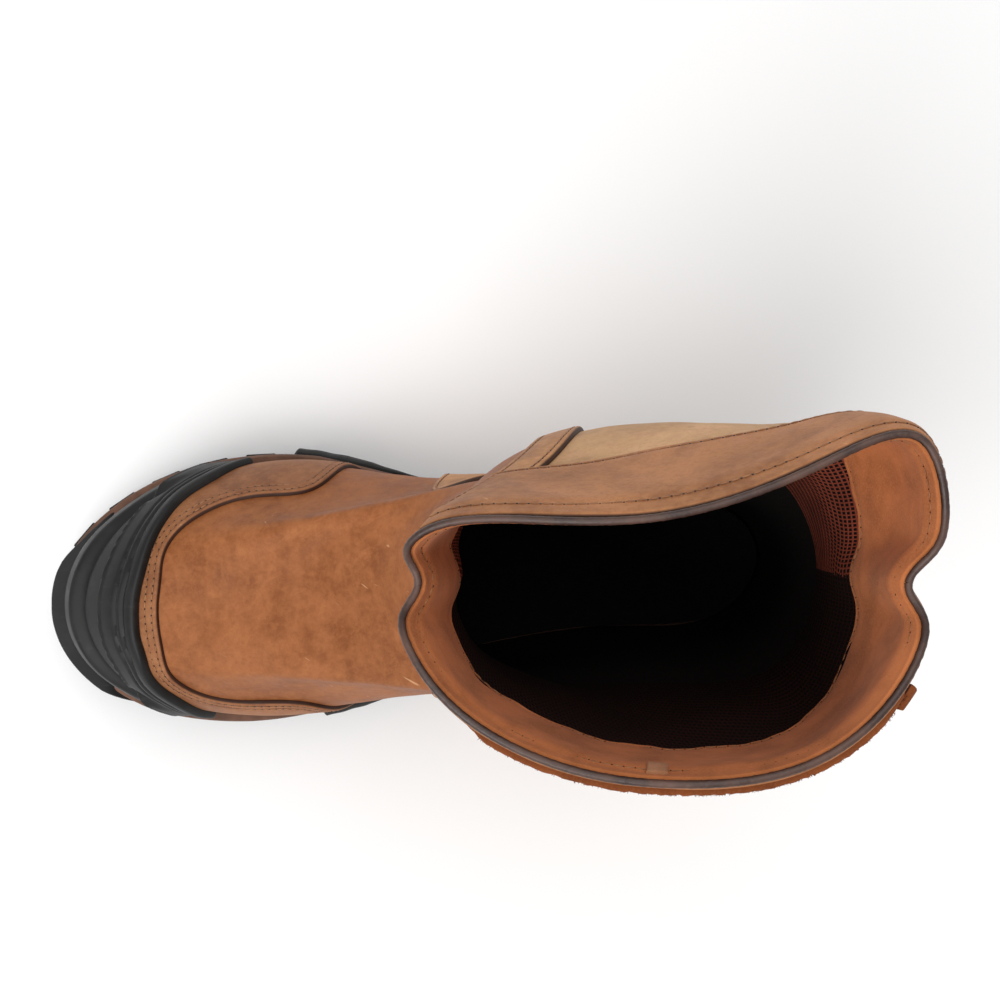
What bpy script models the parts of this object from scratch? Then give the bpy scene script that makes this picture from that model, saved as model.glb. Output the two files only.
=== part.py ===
"""A right-foot steel toe safety boot of the pull-on kind, as the separate pieces it is made of.

Frame: metres, +Z up, standing on Z = 0. The toe points to -X, the heel to +X, and the outer
(lateral) side of the foot to +Y. The object is centred on X = Y = 0 at the end.

The upper is one lofted surface. Its rings run round the foot: ring 0 is the feather line, where
the upper meets the sole, and the last ring is the rim. `u` counts twelve stations round a ring
(0 toe or front, 3 lateral, 6 back, 9 medial), and `v` counts the rings. Every leather, lining or
steel shell is a panel of that surface, with an outer and an inner offset along its normal.
"""

import bmesh
import bpy
import numpy as np

MM = 0.001

# Overall sizes. The rings below are drawn for DRAWN_LENGTH, DRAWN_WIDTH and DRAWN_HEIGHT.
BOOT_LENGTH = 0.312
BALL_WIDTH = 0.1142
BOOT_HEIGHT = 0.276
DRAWN_LENGTH = 0.312
DRAWN_WIDTH = 0.1142
DRAWN_HEIGHT = 0.276
ANKLE_HEIGHT = 0.130

# Thicknesses of the layers of the upper.
LEATHER = 2.0 * MM
TRIM_LEATHER = 1.8 * MM
FACING_LEATHER = 1.4 * MM
LINING_CLOTH = 1.4 * MM
CAP_STEEL = 1.8 * MM
STIFFENER_BOARD = 1.6 * MM
BUMPER_RUBBER = 2.4 * MM
PIPING_RADIUS = 1.5 * MM
PIPING_SIDES = 8
PIPING_ENDS = 0.08

# Clearances: between stacked layers, between panels edge to edge, and over the sole.
LAYER_GAP = 0.4 * MM
CURVED_EDGE_GAP = 1.0 * MM
SEAM_GAP = 0.7 * MM
SOLE_GAP = 0.9 * MM
PIPING_GAP = 0.9 * MM

# Bottom of the boot, from the ground up.
LUG_DEPTH = 5.0 * MM
LUG_ROOT = 1.0 * MM
OUTSOLE_BASE = 9.0 * MM
TOE_SPRING = 13.0 * MM
TOE_SPRING_START = -0.075
HEEL_BEVEL = 2.5 * MM
HEEL_BEVEL_START = 0.138
ARCH_RISE = 5.0 * MM
ARCH_MIDDLE = 0.030
ARCH_LENGTH = 0.062
MIDSOLE_INSET = 2.5 * MM
PLATE_STEEL = 0.8 * MM
BOARD = 2.2 * MM
FOOTBED = 5.0 * MM
FOOTBED_CUP = 4.0 * MM
BOTTOM_CLEARANCE = 2.0 * MM
BOTTOM_INSET = LEATHER + LAYER_GAP + CAP_STEEL + CURVED_EDGE_GAP + LINING_CLOTH + BOTTOM_CLEARANCE
BOTTOM_TOE_INSET = 7.0 * MM
BOTTOM_TOE_REACH = 2.2
SHANK_LENGTH = 0.100
SHANK_WIDTH = 0.016
SHANK_THICKNESS = 1.6 * MM
SHANK_MIDDLE = 0.040
SHANK_COVER = 1.2 * MM
POCKET_CLEARANCE = 0.5 * MM
POCKET_OPENING = 6.0 * MM
OUTSOLE_TAPER = 1.0 * MM

# Tread blocks.
EDGE_LUGS = 34
EDGE_LUG_FILL = 0.62
EDGE_LUG_DEPTH = 15.0 * MM
EDGE_LUG_PROUD = 0.6 * MM
CENTRE_LUG_PITCH = 0.0175
CENTRE_LUG_LENGTH = 0.010
CENTRE_LUG_MARGIN = 19.0 * MM
CENTRE_LUG_SKIP = 3
FLEX_WING = (2.02, 2.66)
FLEX_WING_OUT = 1.4 * MM
FLEX_WING_TOP = 4.0 * MM

# Where a ring's five width stations lie along its length.
WIDTH_STATIONS = (0.09, 0.30, 0.52, 0.74, 0.92)
STATIONS = 12

# Each ring in millimetres: the X of its front and back, the Y of its axis there, its height at
# the front, middle and back, then its half-widths at the five stations, lateral and medial.
RINGS = (
    # feather line
    (-139.5, 150, -12, 8, 34.5, 27, 33, (37.5, 51.5, 37.2, 35.2, 29.6), (37.1, 49.5, 39.4, 31.8, 30.4)),
    # wall of the foot
    (-132.5, 153, -12, 8, 50, 47, 56, (37.5, 51.0, 40.5, 38.0, 31.0), (36.5, 49.5, 42.5, 34.5, 32.0)),
    # shoulder of the toe box
    (-121.5, 152, -12, 8, 63, 70, 84, (34.0, 42.0, 40.5, 39.0, 31.0), (32.0, 41.0, 43.5, 36.0, 32.0)),
    # top of the toe box, back of the heel
    (-104.5, 149, -11, 8, 73, 96, 114, (26.0, 33.0, 37.0, 39.0, 31.0), (26.0, 34.0, 40.0, 37.0, 32.0)),
    # vamp
    (-58.0, 147, -5, 8, 86, 128, 146, (22.0, 34.0, 39.0, 41.0, 32.0), (23.0, 37.0, 39.0, 39.0, 33.0)),
    # instep
    (-2.0, 145, 3, 8, 122, 160, 178, (23.0, 37.0, 43.0, 44.0, 35.0), (23.0, 37.0, 42.0, 42.0, 35.0)),
    # lower shaft
    (17.0, 147, 6, 8, 185, 200, 212, (30.0, 44.5, 48.0, 46.5, 38.0), (27.0, 42.0, 48.0, 47.0, 39.0)),
    # foot of the collar band
    (15.0, 152, 8, 8.5, 228, 236, 241, (25.5, 31.7, 37.0, 42.9, 41.0), (30.5, 47.4, 52.6, 50.9, 37.4)),
    # rim
    (6.5, 153.5, 8, 8.5, 266, 276, 270, (17.4, 18.7, 20.6, 32.4, 38.8), (29.1, 47.2, 52.0, 49.1, 34.5)),
)
RIM = len(RINGS) - 1.0

# Outline of the outsole, in the same form.
SOLE_RING = (-156, 156, -13, 8, 0, 0, 0, (42.6, 57.7, 42.0, 40.5, 33.7), (42.0, 56.5, 44.0, 36.5, 33.3))

# The crease at the front and back of the shaft, and the dip that it leaves in the rim.
CREASE_START = 4.5
CREASE_LINE = 8.5 * MM
CREASE_DEPTH = 6.5 * MM
CREASE_WIDTH = 7.0 * MM
DIP_DEPTH = 9.0 * MM
DIP_WIDTH = 13.0 * MM
BACK_SKEW = 0.17

# Seams, in stations (u) and rings (v).
SEAM_FOOT = 3.0
SEAM_RIM = 0.75
SEAM_SWEEP = 2.1
STRIP_WIDTH = 0.42
# Each side of a toe seam: where it starts and stops falling, by how many rings, and its end.
MUDGUARD_TOP = 3.18
MUDGUARD_LATERAL = (0.1, 1.9, 1.15, 2.4)
MUDGUARD_MEDIAL = (0.3, 1.5, 1.5, 2.4)
BUMPER_TOP = 2.97
BUMPER_LATERAL = (0.3, 1.75, 1.75, 1.95)
BUMPER_MEDIAL = (0.3, 1.45, 1.75, 1.75)
TOE_SEAM_DROP = 12
TOE_CORNER_CUT = 0.3
BUMPER_RIDGES = ((0.55, 1.8 * MM), (2.0, 0.6 * MM))
RIDGE_WIDTH = 0.3
CAP_TOP = 3.1
CAP_END = 1.7
CAP_SWEEP = 3.0
CAP_EDGE = 0.22
COUNTER_TOP = 2.7
COUNTER_REACH = 1.8
COUNTER_SWEEP = 2.5
STIFFENER_TOP = 2.2
STIFFENER_REACH = 1.5
BACK_STAY_HALF = 0.30
BAND_FOOT = 7.0
FACING_FOOT = 6.70
LINING_SPLIT = 4.5
LINING_MARGIN = 0.03
END_MARGIN = 0.02
TRIM_MARGIN = 0.04
COUNTER_MARGIN = 0.06
LINING_SIDE = 3.0
DEEP_LINING_TOP = 3.5
SHALLOW_LINING = 4.4

# The lattice that every panel shares, so that stacked layers have parallel facets.
U_STEP = 0.2
V_LINES = (0, 0.4, 0.8, 1.2, 1.6, 2.0, 2.4, 2.8, 3.2, 3.7, 4.3, 5.0, 5.6, 6.2, 6.7, 7.0, 7.5, 8.0)
SNAP = 0.12
LEVEL_ABOVE = 0.7


def smooth_step(x):
    x = np.clip(x, 0.0, 1.0)
    return x * x * (3.0 - 2.0 * x)


def ring_points(ring):
    """The twelve points of one ring, scaled from the drawing to the driving sizes."""
    x0, x1, y0, y1, z0, z1, z2, lateral, medial = ring
    along = np.array((0.0,) + WIDTH_STATIONS + (1.0,) + WIDTH_STATIONS[::-1])
    side = np.array((0.0,) + lateral + (0.0,) + tuple(-w for w in medial[::-1]))
    height = 2 * (along - 0.5) * (along - 1) * z0 - 4 * along * (along - 1) * z1
    height += 2 * along * (along - 0.5) * z2
    x = (x0 + (x1 - x0) * along) * BOOT_LENGTH / DRAWN_LENGTH
    y = (y0 + (y1 - y0) * along + side) * BALL_WIDTH / DRAWN_WIDTH
    z = height * MM
    stretch = (BOOT_HEIGHT - ANKLE_HEIGHT) / (DRAWN_HEIGHT - ANKLE_HEIGHT)
    z = np.where(z > ANKLE_HEIGHT, ANKLE_HEIGHT + (z - ANKLE_HEIGHT) * stretch, z)
    return np.stack((x * MM, y * MM, z), axis=-1)


def spline_controls(points, closed):
    """Control points of the cubic B-spline that passes through the points."""
    count = len(points)
    matrix = np.zeros((count, count))
    for i in range(count):
        matrix[i, i] = 4 / 6
        matrix[i, (i + 1) % count] = 1 / 6
        matrix[i, i - 1] = 1 / 6
    if closed:
        return np.linalg.solve(matrix, points.reshape(count, -1)).reshape(points.shape)
    matrix[0] = 0
    matrix[-1] = 0
    matrix[0, 0] = 1
    matrix[-1, -1] = 1
    inner = np.linalg.solve(matrix, points.reshape(count, -1)).reshape(points.shape)
    return np.concatenate((2 * inner[:1] - inner[1:2], inner, 2 * inner[-1:] - inner[-2:-1]))


def spline_weights(t):
    """The interval that each t is in, and the weights of its four control points."""
    whole = np.floor(t).astype(int)
    f = t - whole
    weights = ((1 - f) ** 3, 4 - 6 * f**2 + 3 * f**3, 1 + 3 * f + 3 * f**2 - 3 * f**3, f**3)
    return whole, [w / 6 for w in weights]


RING_NET = spline_controls(np.stack([ring_points(r) for r in RINGS]), closed=False)
RING_NET = np.swapaxes(spline_controls(np.swapaxes(RING_NET, 0, 1), closed=True), 0, 1)
SOLE_NET = spline_controls(ring_points(SOLE_RING), closed=True)


def creased(points, v):
    """Pull in the front and back of the shaft, dip the rim there and set the back askew."""
    x0, x1 = (value * MM * BOOT_LENGTH / DRAWN_LENGTH for value in RINGS[-1][:2])
    along = smooth_step((points[..., 0] - x0) / (x1 - x0))
    off = points[..., 1] - CREASE_LINE * BALL_WIDTH / DRAWN_WIDTH
    ramp = smooth_step((v - CREASE_START) / (RIM - CREASE_START))
    ends = np.abs(2 * along - 1) ** 2
    turn = 1 - 2 * along
    result = points.copy()
    result[..., 0] += CREASE_DEPTH * ramp * turn * ends * np.exp(-((off / CREASE_WIDTH) ** 2))
    result[..., 0] += BACK_SKEW * ramp * along**4 * off
    result[..., 2] -= DIP_DEPTH * ramp**3 * ends * np.exp(-((off / DIP_WIDTH) ** 2))
    return result


def surface(u, v):
    """Points of the upper's main surface, which is the outer face of the main leather."""
    row, v_weights = spline_weights(np.clip(v, 0, RIM - 1e-9))
    column, u_weights = spline_weights(u)
    total = 0
    for i in range(4):
        for j in range(4):
            net = RING_NET[row + i, (column + j - 1) % STATIONS]
            total = total + net * (v_weights[i] * u_weights[j])[..., None]
    return creased(total, v)


def offset_surface(u, v, offset):
    """Points at a distance from the main surface, outwards where the offset is above zero."""
    u, v, offset = np.broadcast_arrays(np.asarray(u, float), np.asarray(v, float), offset)
    step = 1e-3
    v = np.clip(v, step, RIM - step)
    across = surface(u + step, v) - surface(u - step, v)
    upward = surface(u, v + step) - surface(u, v - step)
    normal = np.cross(upward, across)
    normal /= np.linalg.norm(normal, axis=-1, keepdims=True)
    # Down at the sole the layers stand side by side, so that all of them end level on it.
    normal[..., 2] *= smooth_step(v / LEVEL_ABOVE)
    normal /= np.linalg.norm(normal, axis=-1, keepdims=True)
    return surface(u, v) + normal * offset[..., None]


def sole_edge(u, inset):
    """Points of the outsole's outline, moved inwards in plan."""
    step = 1e-3

    def at(shift):
        column, weights = spline_weights(u + shift)
        return sum(SOLE_NET[(column + j - 1) % STATIONS] * weights[j][..., None] for j in range(4))

    along = at(step) - at(-step)
    inward = np.stack((along[..., 1], -along[..., 0], 0 * along[..., 0]), axis=-1)
    inward /= np.linalg.norm(inward, axis=-1, keepdims=True)
    return at(0) + inward * np.asarray(inset)[..., None]


def feather_edge(u, inset):
    """Points of the feather line, moved inwards in plan."""
    step = 1e-3
    v = np.zeros_like(u)
    along = surface(u + step, v) - surface(u - step, v)
    inward = np.stack((along[..., 1], -along[..., 0], 0 * along[..., 0]), axis=-1)
    inward /= np.linalg.norm(inward, axis=-1, keepdims=True)
    return surface(u, v) + inward * inset


def tread_height(x):
    """Height of the bottom of the tread: toe spring in front and a small bevel at the heel."""
    scale = BOOT_LENGTH / DRAWN_LENGTH
    toe = np.clip((TOE_SPRING_START * scale - x) / (DRAWN_LENGTH / 2 + TOE_SPRING_START) / scale, 0, None)
    heel = np.clip((x - HEEL_BEVEL_START * scale) / (DRAWN_LENGTH / 2 - HEEL_BEVEL_START) / scale, 0, None)
    return TOE_SPRING * toe**2 + HEEL_BEVEL * heel**2


def base_height(x):
    """Height of the underside of the outsole between its lugs, with the arch in the waist."""
    scale = BOOT_LENGTH / DRAWN_LENGTH
    arch = np.exp(-(((x - ARCH_MIDDLE * scale) / (ARCH_LENGTH / 2 * scale)) ** 4))
    return tread_height(x) + LUG_DEPTH + ARCH_RISE * arch


def outsole_top(x):
    return tread_height(x) + LUG_DEPTH + OUTSOLE_BASE


def feather_height(x):
    """Height of the feather line above a point of the sole."""
    x0, x1, _, _, z0, z1, z2 = RINGS[0][:7]
    scale = BOOT_LENGTH / DRAWN_LENGTH * MM
    t = (x - x0 * scale) / ((x1 - x0) * scale)
    return (2 * (t - 0.5) * (t - 1) * z0 - 4 * t * (t - 1) * z1 + 2 * t * (t - 0.5) * z2) * MM


def material(name, colour, roughness, metallic=0.0):
    made = bpy.data.materials.new(name)
    made.use_nodes = True
    shader = made.node_tree.nodes["Principled BSDF"]
    shader.inputs["Base Color"].default_value = (*colour, 1.0)
    shader.inputs["Roughness"].default_value = roughness
    shader.inputs["Metallic"].default_value = metallic
    made.diffuse_color = (*colour, 1.0)
    return made


def finished(name, bm, made):
    """Turn a bmesh into a smooth-shaded object with one material."""
    bmesh.ops.remove_doubles(bm, verts=bm.verts, dist=1e-6)
    bmesh.ops.recalc_face_normals(bm, faces=bm.faces)
    mesh = bpy.data.meshes.new(name)
    bm.to_mesh(mesh)
    bm.free()
    mesh.shade_smooth()
    mesh.set_sharp_from_angle(angle=np.radians(40))
    mesh.materials.append(made)
    obj = bpy.data.objects.new(name, mesh)
    bpy.context.scene.collection.objects.link(obj)
    return obj


def grid(columns, rows):
    """A grid whose vertices remember their column and row."""
    bm = bmesh.new()
    bmesh.ops.create_grid(bm, x_segments=columns - 1, y_segments=rows - 1, size=0.5)
    column = bm.verts.layers.int.new("column")
    row = bm.verts.layers.int.new("row")
    for vert in bm.verts:
        vert[column] = round((vert.co.x + 0.5) * (columns - 1))
        vert[row] = round((vert.co.y + 0.5) * (rows - 1))
    return bm, column, row


def two_sided(columns, rows, front, back):
    """Close two faces, each an array of points by column and row, into one shell."""
    bm, column, row = grid(columns, rows)
    made = bmesh.ops.extrude_face_region(bm, geom=bm.faces[:], use_keep_orig=True)
    second = {item for item in made["geom"] if isinstance(item, bmesh.types.BMVert)}
    for vert in bm.verts:
        points = back if vert in second else front
        vert.co = points[vert[column], vert[row]]
    return bm


def snapped(lines, low, high, step):
    """Lattice lines kept between two limits; a line close to a limit moves onto it."""
    result = np.where(lines < low + SNAP * step, low, lines)
    return np.where(result > high - SNAP * step, high, result)


def panel(name, made, u_low, u_high, v_low, v_high, outer, inner):
    """A shell over part of the upper. u limits are functions of v, and v limits of u."""
    first = np.floor(min(u_low(v) for v in V_LINES) / U_STEP)
    last = np.ceil(max(u_high(v) for v in V_LINES) / U_STEP)
    u_lines = np.arange(first, last + 1) * U_STEP
    v_lines = np.array(V_LINES, float)
    u = np.empty((len(u_lines), len(v_lines)))
    v = np.empty_like(u)
    middle = (u_lines[0] + u_lines[-1]) / 2
    low_v = min(v_low(middle), RIM)
    high_v = v_high(middle)
    for k, line in enumerate(v_lines):
        level = min(max(line, low_v), high_v)
        u[:, k] = snapped(u_lines, u_low(level), u_high(level), U_STEP)
    spacing = np.gradient(v_lines)
    for j in range(len(u_lines)):
        for k, line in enumerate(v_lines):
            low = v_low(u[j, k])
            high = v_high(u[j, k])
            v[j, k] = snapped(line, low, max(low, high), spacing[k])
    front = offset_surface(u, v, outer(u, v) if callable(outer) else outer)
    back = offset_surface(u, v, inner(u, v) if callable(inner) else inner)
    return finished(name, two_sided(*u.shape, front, back), made)


def constant(value):
    return lambda _: value


def side_seam(v):
    """Station of the seam between the vamp and a side panel."""
    return SEAM_FOOT - (SEAM_FOOT - SEAM_RIM) * (np.clip(v, 0, RIM) / RIM) ** SEAM_SWEEP


def seam_margin(v):
    """Half of the gap at a seam, in stations, from the ring's local spacing."""
    spacing = np.linalg.norm(surface(side_seam(v) + 0.1, v) - surface(side_seam(v) - 0.1, v)) / 0.2
    return SEAM_GAP / 2 / spacing


def arch_line(top, ends, sweep):
    """A U-shaped seam over the toe: its top, its lateral and medial ends, and its sweep."""

    def height(u):
        end = ends[0] if u > 0 else ends[1]
        return top * (1 - min(abs(u) / end, 1.0) ** sweep)

    return height


def toe_seam(top, lateral, medial):
    """A seam over the toe that falls on each side and runs level to a corner that is cut away."""

    def height(u):
        start, stop, fall, end = lateral if u > 0 else medial
        level = top - fall * smooth_step((abs(u) - start) / (stop - start))
        return level * (1 - TOE_CORNER_CUT * min(abs(u) / end, 1.0) ** TOE_SEAM_DROP)

    return height


TRIM = (LAYER_GAP, LAYER_GAP + TRIM_LEATHER)
BUMPER_INNER = LAYER_GAP + TRIM_LEATHER + CURVED_EDGE_GAP
HARD_OUTER = -LEATHER - LAYER_GAP


def make_vamp(leather):
    return panel(
        "vamp", leather,
        lambda v: -side_seam(v) + seam_margin(v), lambda v: side_seam(v) - seam_margin(v),
        constant(0.0), constant(RIM), 0.0, -LEATHER,
    )


def make_side_panels(leather):
    back = STATIONS / 2 - END_MARGIN
    panel("side_panel_lateral", leather, lambda v: side_seam(v) + seam_margin(v), constant(back),
          constant(0.0), constant(RIM), 0.0, -LEATHER)
    panel("side_panel_medial", leather, constant(STATIONS - back),
          lambda v: STATIONS - side_seam(v) - seam_margin(v),
          constant(0.0), constant(RIM), 0.0, -LEATHER)


def make_side_strips(leather):
    """The strips that cover the seams between the vamp and the side panels."""
    top = BAND_FOOT - LINING_MARGIN
    inner, outer = TRIM
    panel("side_strip_lateral", leather, lambda v: side_seam(v) - END_MARGIN,
          lambda v: side_seam(v) + STRIP_WIDTH, constant(0.0), constant(top), outer, inner)
    panel("side_strip_medial", leather, lambda v: STATIONS - side_seam(v) - STRIP_WIDTH,
          lambda v: STATIONS - side_seam(v) + END_MARGIN, constant(0.0), constant(top), outer, inner)


def make_mudguard(leather):
    seam = toe_seam(MUDGUARD_TOP, MUDGUARD_LATERAL, MUDGUARD_MEDIAL)
    inner, outer = TRIM
    return panel("toe_mudguard", leather, constant(-MUDGUARD_MEDIAL[-1]), constant(MUDGUARD_LATERAL[-1]),
                 constant(0.0), seam, outer, inner)


def bumper_face(u, v):
    """Outer face of the rubber bumper, thicker along its two ridges."""
    ridges = sum(rise * np.exp(-(((v - middle) / RIDGE_WIDTH) ** 2)) for middle, rise in BUMPER_RIDGES)
    return BUMPER_INNER + BUMPER_RUBBER + ridges


def make_bumper(rubber):
    seam = toe_seam(BUMPER_TOP, BUMPER_LATERAL, BUMPER_MEDIAL)
    return panel("toe_bumper", rubber, constant(-BUMPER_MEDIAL[-1]), constant(BUMPER_LATERAL[-1]),
                 constant(0.0), seam, bumper_face, BUMPER_INNER)


def make_toe_cap(steel, rubber):
    """The steel cap under the vamp, and the soft strip that covers its back edge."""
    seam = arch_line(CAP_TOP, (CAP_END, CAP_END), CAP_SWEEP)
    reach = CAP_END + CAP_EDGE
    edge = arch_line(CAP_TOP + CAP_EDGE, (reach, reach), CAP_SWEEP)
    inside = HARD_OUTER - CAP_STEEL
    panel("toe_cap", steel, constant(-CAP_END), constant(CAP_END), constant(0.0), seam,
          HARD_OUTER, inside)
    end = CAP_END + TRIM_MARGIN
    cap_end = arch_line(CAP_TOP + TRIM_MARGIN, (end, end), CAP_SWEEP)
    panel("toe_cap_edge_strip", rubber, constant(-reach), constant(reach), cap_end, edge,
          HARD_OUTER, inside)


def heel_line(top, reach, sweep):
    def height(u):
        return top * (1 - min(abs(u - STATIONS / 2) / reach, 1.0) ** sweep)

    return height


def make_heel(leather, board):
    middle = STATIONS / 2
    inner, outer = TRIM
    panel("heel_counter", leather, constant(middle - COUNTER_REACH), constant(middle + COUNTER_REACH),
          constant(0.0), heel_line(COUNTER_TOP, COUNTER_REACH, COUNTER_SWEEP), outer, inner)
    panel("heel_stiffener", board, constant(middle - STIFFENER_REACH),
          constant(middle + STIFFENER_REACH), constant(0.0),
          heel_line(STIFFENER_TOP, STIFFENER_REACH, COUNTER_SWEEP),
          HARD_OUTER, HARD_OUTER - STIFFENER_BOARD)
    counter = heel_line(COUNTER_TOP, COUNTER_REACH, COUNTER_SWEEP)
    panel("back_stay", leather, constant(middle - BACK_STAY_HALF), constant(middle + BACK_STAY_HALF),
          lambda u: counter(u) + COUNTER_MARGIN, constant(RIM), outer, inner)


def make_collar_bands(leather):
    inner, outer = TRIM
    back = STATIONS / 2 - BACK_STAY_HALF - TRIM_MARGIN
    panel("collar_band_lateral", leather, lambda v: side_seam(v) - END_MARGIN, constant(back),
          constant(BAND_FOOT), constant(RIM), outer, inner)
    panel("collar_band_medial", leather, constant(STATIONS - back),
          lambda v: STATIONS - side_seam(v) + END_MARGIN, constant(BAND_FOOT), constant(RIM), outer, inner)


def make_facings(leather):
    """The leather that lines the top of the shaft."""
    half = STATIONS / 2
    limits = ((END_MARGIN, half - END_MARGIN), (half + END_MARGIN, STATIONS - END_MARGIN))
    for side, (low, high) in zip(("lateral", "medial"), limits):
        panel(f"rim_facing_{side}", leather, constant(low), constant(high), constant(FACING_FOOT),
              constant(RIM), HARD_OUTER, HARD_OUTER - FACING_LEATHER)


def lining_outer(u, v):
    """Behind the steel and the stiffener in the foot, straight behind the leather in the shaft."""
    shaft = smooth_step((v - DEEP_LINING_TOP) / (SHALLOW_LINING - DEEP_LINING_TOP))
    return HARD_OUTER - (max(CAP_STEEL, STIFFENER_BOARD) + CURVED_EDGE_GAP) * (1 - shaft)


def lining_inner(u, v):
    return lining_outer(u, v) - LINING_CLOTH


def make_linings(cloth, felt):
    half = STATIONS / 2
    split = LINING_SPLIT
    panel("vamp_lining", felt, constant(-LINING_SIDE + END_MARGIN), constant(LINING_SIDE - END_MARGIN),
          constant(0.0), constant(split - LINING_MARGIN), lining_outer, lining_inner)
    panel("heel_lining", felt, constant(LINING_SIDE + END_MARGIN), constant(STATIONS - LINING_SIDE - END_MARGIN),
          constant(0.0), constant(split - LINING_MARGIN), lining_outer, lining_inner)
    for side, low in (("lateral", 0.0), ("medial", half)):
        panel(f"shaft_lining_{side}", cloth, constant(low + END_MARGIN), constant(low + half - END_MARGIN),
              constant(split), constant(FACING_FOOT - TRIM_MARGIN), lining_outer, lining_inner)


def make_piping(name, leather, low, high):
    """The rolled piping that lies on the rim, between the band outside and the facing inside."""
    lines = np.arange(np.ceil(low / U_STEP + SNAP), np.floor(high / U_STEP - SNAP) + 1) * U_STEP
    u = np.concatenate(([low], lines, [high]))
    rim = offset_surface(u, np.full_like(u, RIM), -LEATHER / 2)
    below = offset_surface(u, np.full_like(u, RIM - 0.2), -LEATHER / 2)
    up = rim - below
    up /= np.linalg.norm(up, axis=-1, keepdims=True)
    along = np.gradient(rim, axis=0)
    along /= np.linalg.norm(along, axis=-1, keepdims=True)
    side = np.cross(along, up)
    centre = rim + up * (PIPING_RADIUS + PIPING_GAP)
    bm = bmesh.new()
    bmesh.ops.create_cone(bm, cap_ends=True, segments=PIPING_SIDES, radius1=1, radius2=1, depth=1)
    rims = [edge for edge in bm.edges if abs(edge.verts[0].co.z - edge.verts[1].co.z) > 0.5]
    bmesh.ops.subdivide_edges(bm, edges=rims, cuts=len(u) - 2, use_grid_fill=True)
    for vert in bm.verts:
        k = round((vert.co.z + 0.5) * (len(u) - 1))
        vert.co = centre[k] + PIPING_RADIUS * (up[k] * vert.co.y + side[k] * vert.co.x)
    return finished(name, bm, leather)


def slab(name, made, edge_top, edge_bottom, top, bottom, across=4, along=30):
    """A sheet over the sole's plan. Edges are outlines, and heights are functions of the point."""
    u = np.linspace(0, STATIONS / 2, along + 1)
    faces = []
    for edge, height in ((edge_top, top), (edge_bottom, bottom)):
        lateral = edge(u)
        medial = edge(STATIONS - u)
        share = np.linspace(0, 1, across + 1)[None, :, None]
        points = lateral[:, None] * (1 - share) + medial[:, None] * share
        from_edge = 1 - np.abs(2 * share[..., 0] - 1)
        from_end = 1 - np.abs(np.linspace(-1, 1, along + 1)[:, None]) ** 6
        points[..., 2] = height(points[..., 0], 1 - from_edge * from_end)
        faces.append(points)
    return finished(name, two_sided(along + 1, across + 1, *faces), made)


def make_inner_bottom(steel, board, foam):
    """The puncture-proof plate, the insole board and the footbed, which lie on the midsole."""

    def edge(u):
        from_toe = np.minimum(u, STATIONS - u) / BOTTOM_TOE_REACH
        inset = BOTTOM_INSET + BOTTOM_TOE_INSET * smooth_step(1 - from_toe)
        return feather_edge(u, inset[..., None])

    def level(rise, cup=0.0):
        return lambda x, side: feather_height(x) + rise + cup * np.asarray(side) ** 4

    rise = -SOLE_GAP + LAYER_GAP
    slab("midsole_plate", steel, edge, edge, level(rise + PLATE_STEEL), level(rise), across=2)
    rise += PLATE_STEEL + LAYER_GAP
    slab("insole_board", board, edge, edge, level(rise + BOARD), level(rise), across=2)
    rise += BOARD + LAYER_GAP
    slab("footbed", foam, edge, edge, level(rise + FOOTBED, FOOTBED_CUP), level(rise), across=6)


def cutter(name, bm):
    obj = finished(name, bm, bpy.data.materials["cutter"])
    obj.hide_render = True
    obj.display_type = "WIRE"
    return obj


def combine(obj, other, operation):
    modifier = obj.modifiers.new(operation.lower(), "BOOLEAN")
    modifier.object = other
    modifier.operation = operation
    modifier.use_self = True


def box(bm, low, high):
    """An upright box between two corners."""
    made = bmesh.ops.create_cube(bm, size=1.0)
    low = np.array(low)
    high = np.array(high)
    for vert in made["verts"]:
        vert.co = low + (np.array(vert.co) + 0.5) * (high - low)


def shank_box(grow):
    """Corners of the shank, larger all round by the clearance for its pocket."""
    x = SHANK_MIDDLE * BOOT_LENGTH / DRAWN_LENGTH
    top = feather_height(np.array(x)) - SOLE_GAP - SHANK_COVER
    half = np.array((SHANK_LENGTH / 2 + grow, SHANK_WIDTH / 2 + grow))
    return (x - half[0], -half[1], top - SHANK_THICKNESS - grow), (x + half[0], half[1], top)


def make_midsole(foam, steel):
    def edge(u):
        return sole_edge(u, MIDSOLE_INSET)

    midsole = slab(
        "midsole", foam, edge, edge,
        lambda x, side: feather_height(x) - SOLE_GAP,
        lambda x, side: outsole_top(x) + LAYER_GAP,
    )
    bm = bmesh.new()
    low, high = shank_box(POCKET_CLEARANCE)
    box(bm, low, (high[0], high[1], high[2] + POCKET_OPENING))
    combine(midsole, cutter("shank_pocket", bm), "DIFFERENCE")
    bm = bmesh.new()
    box(bm, *shank_box(0.0))
    bmesh.ops.bevel(
        bm, geom=[e for e in bm.edges if abs(e.verts[0].co.z - e.verts[1].co.z) > 1e-4],
        offset=SHANK_WIDTH / 3, segments=3, affect="EDGES", profile=0.5, material=-1,
    )
    finished("shank", bm, steel)


def edge_block(bm, low_u, high_u, inner, outer, bottom, top):
    """A block along the sole's edge, between two stations and two insets."""
    made = bmesh.ops.create_cube(bm, size=1.0)
    for vert in made["verts"]:
        u = np.array(low_u if vert.co.x < 0 else high_u)
        point = sole_edge(u, np.array(inner if vert.co.y < 0 else outer))
        point[2] = (bottom if vert.co.z < 0 else top)(point[0])
        vert.co = point


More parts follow.
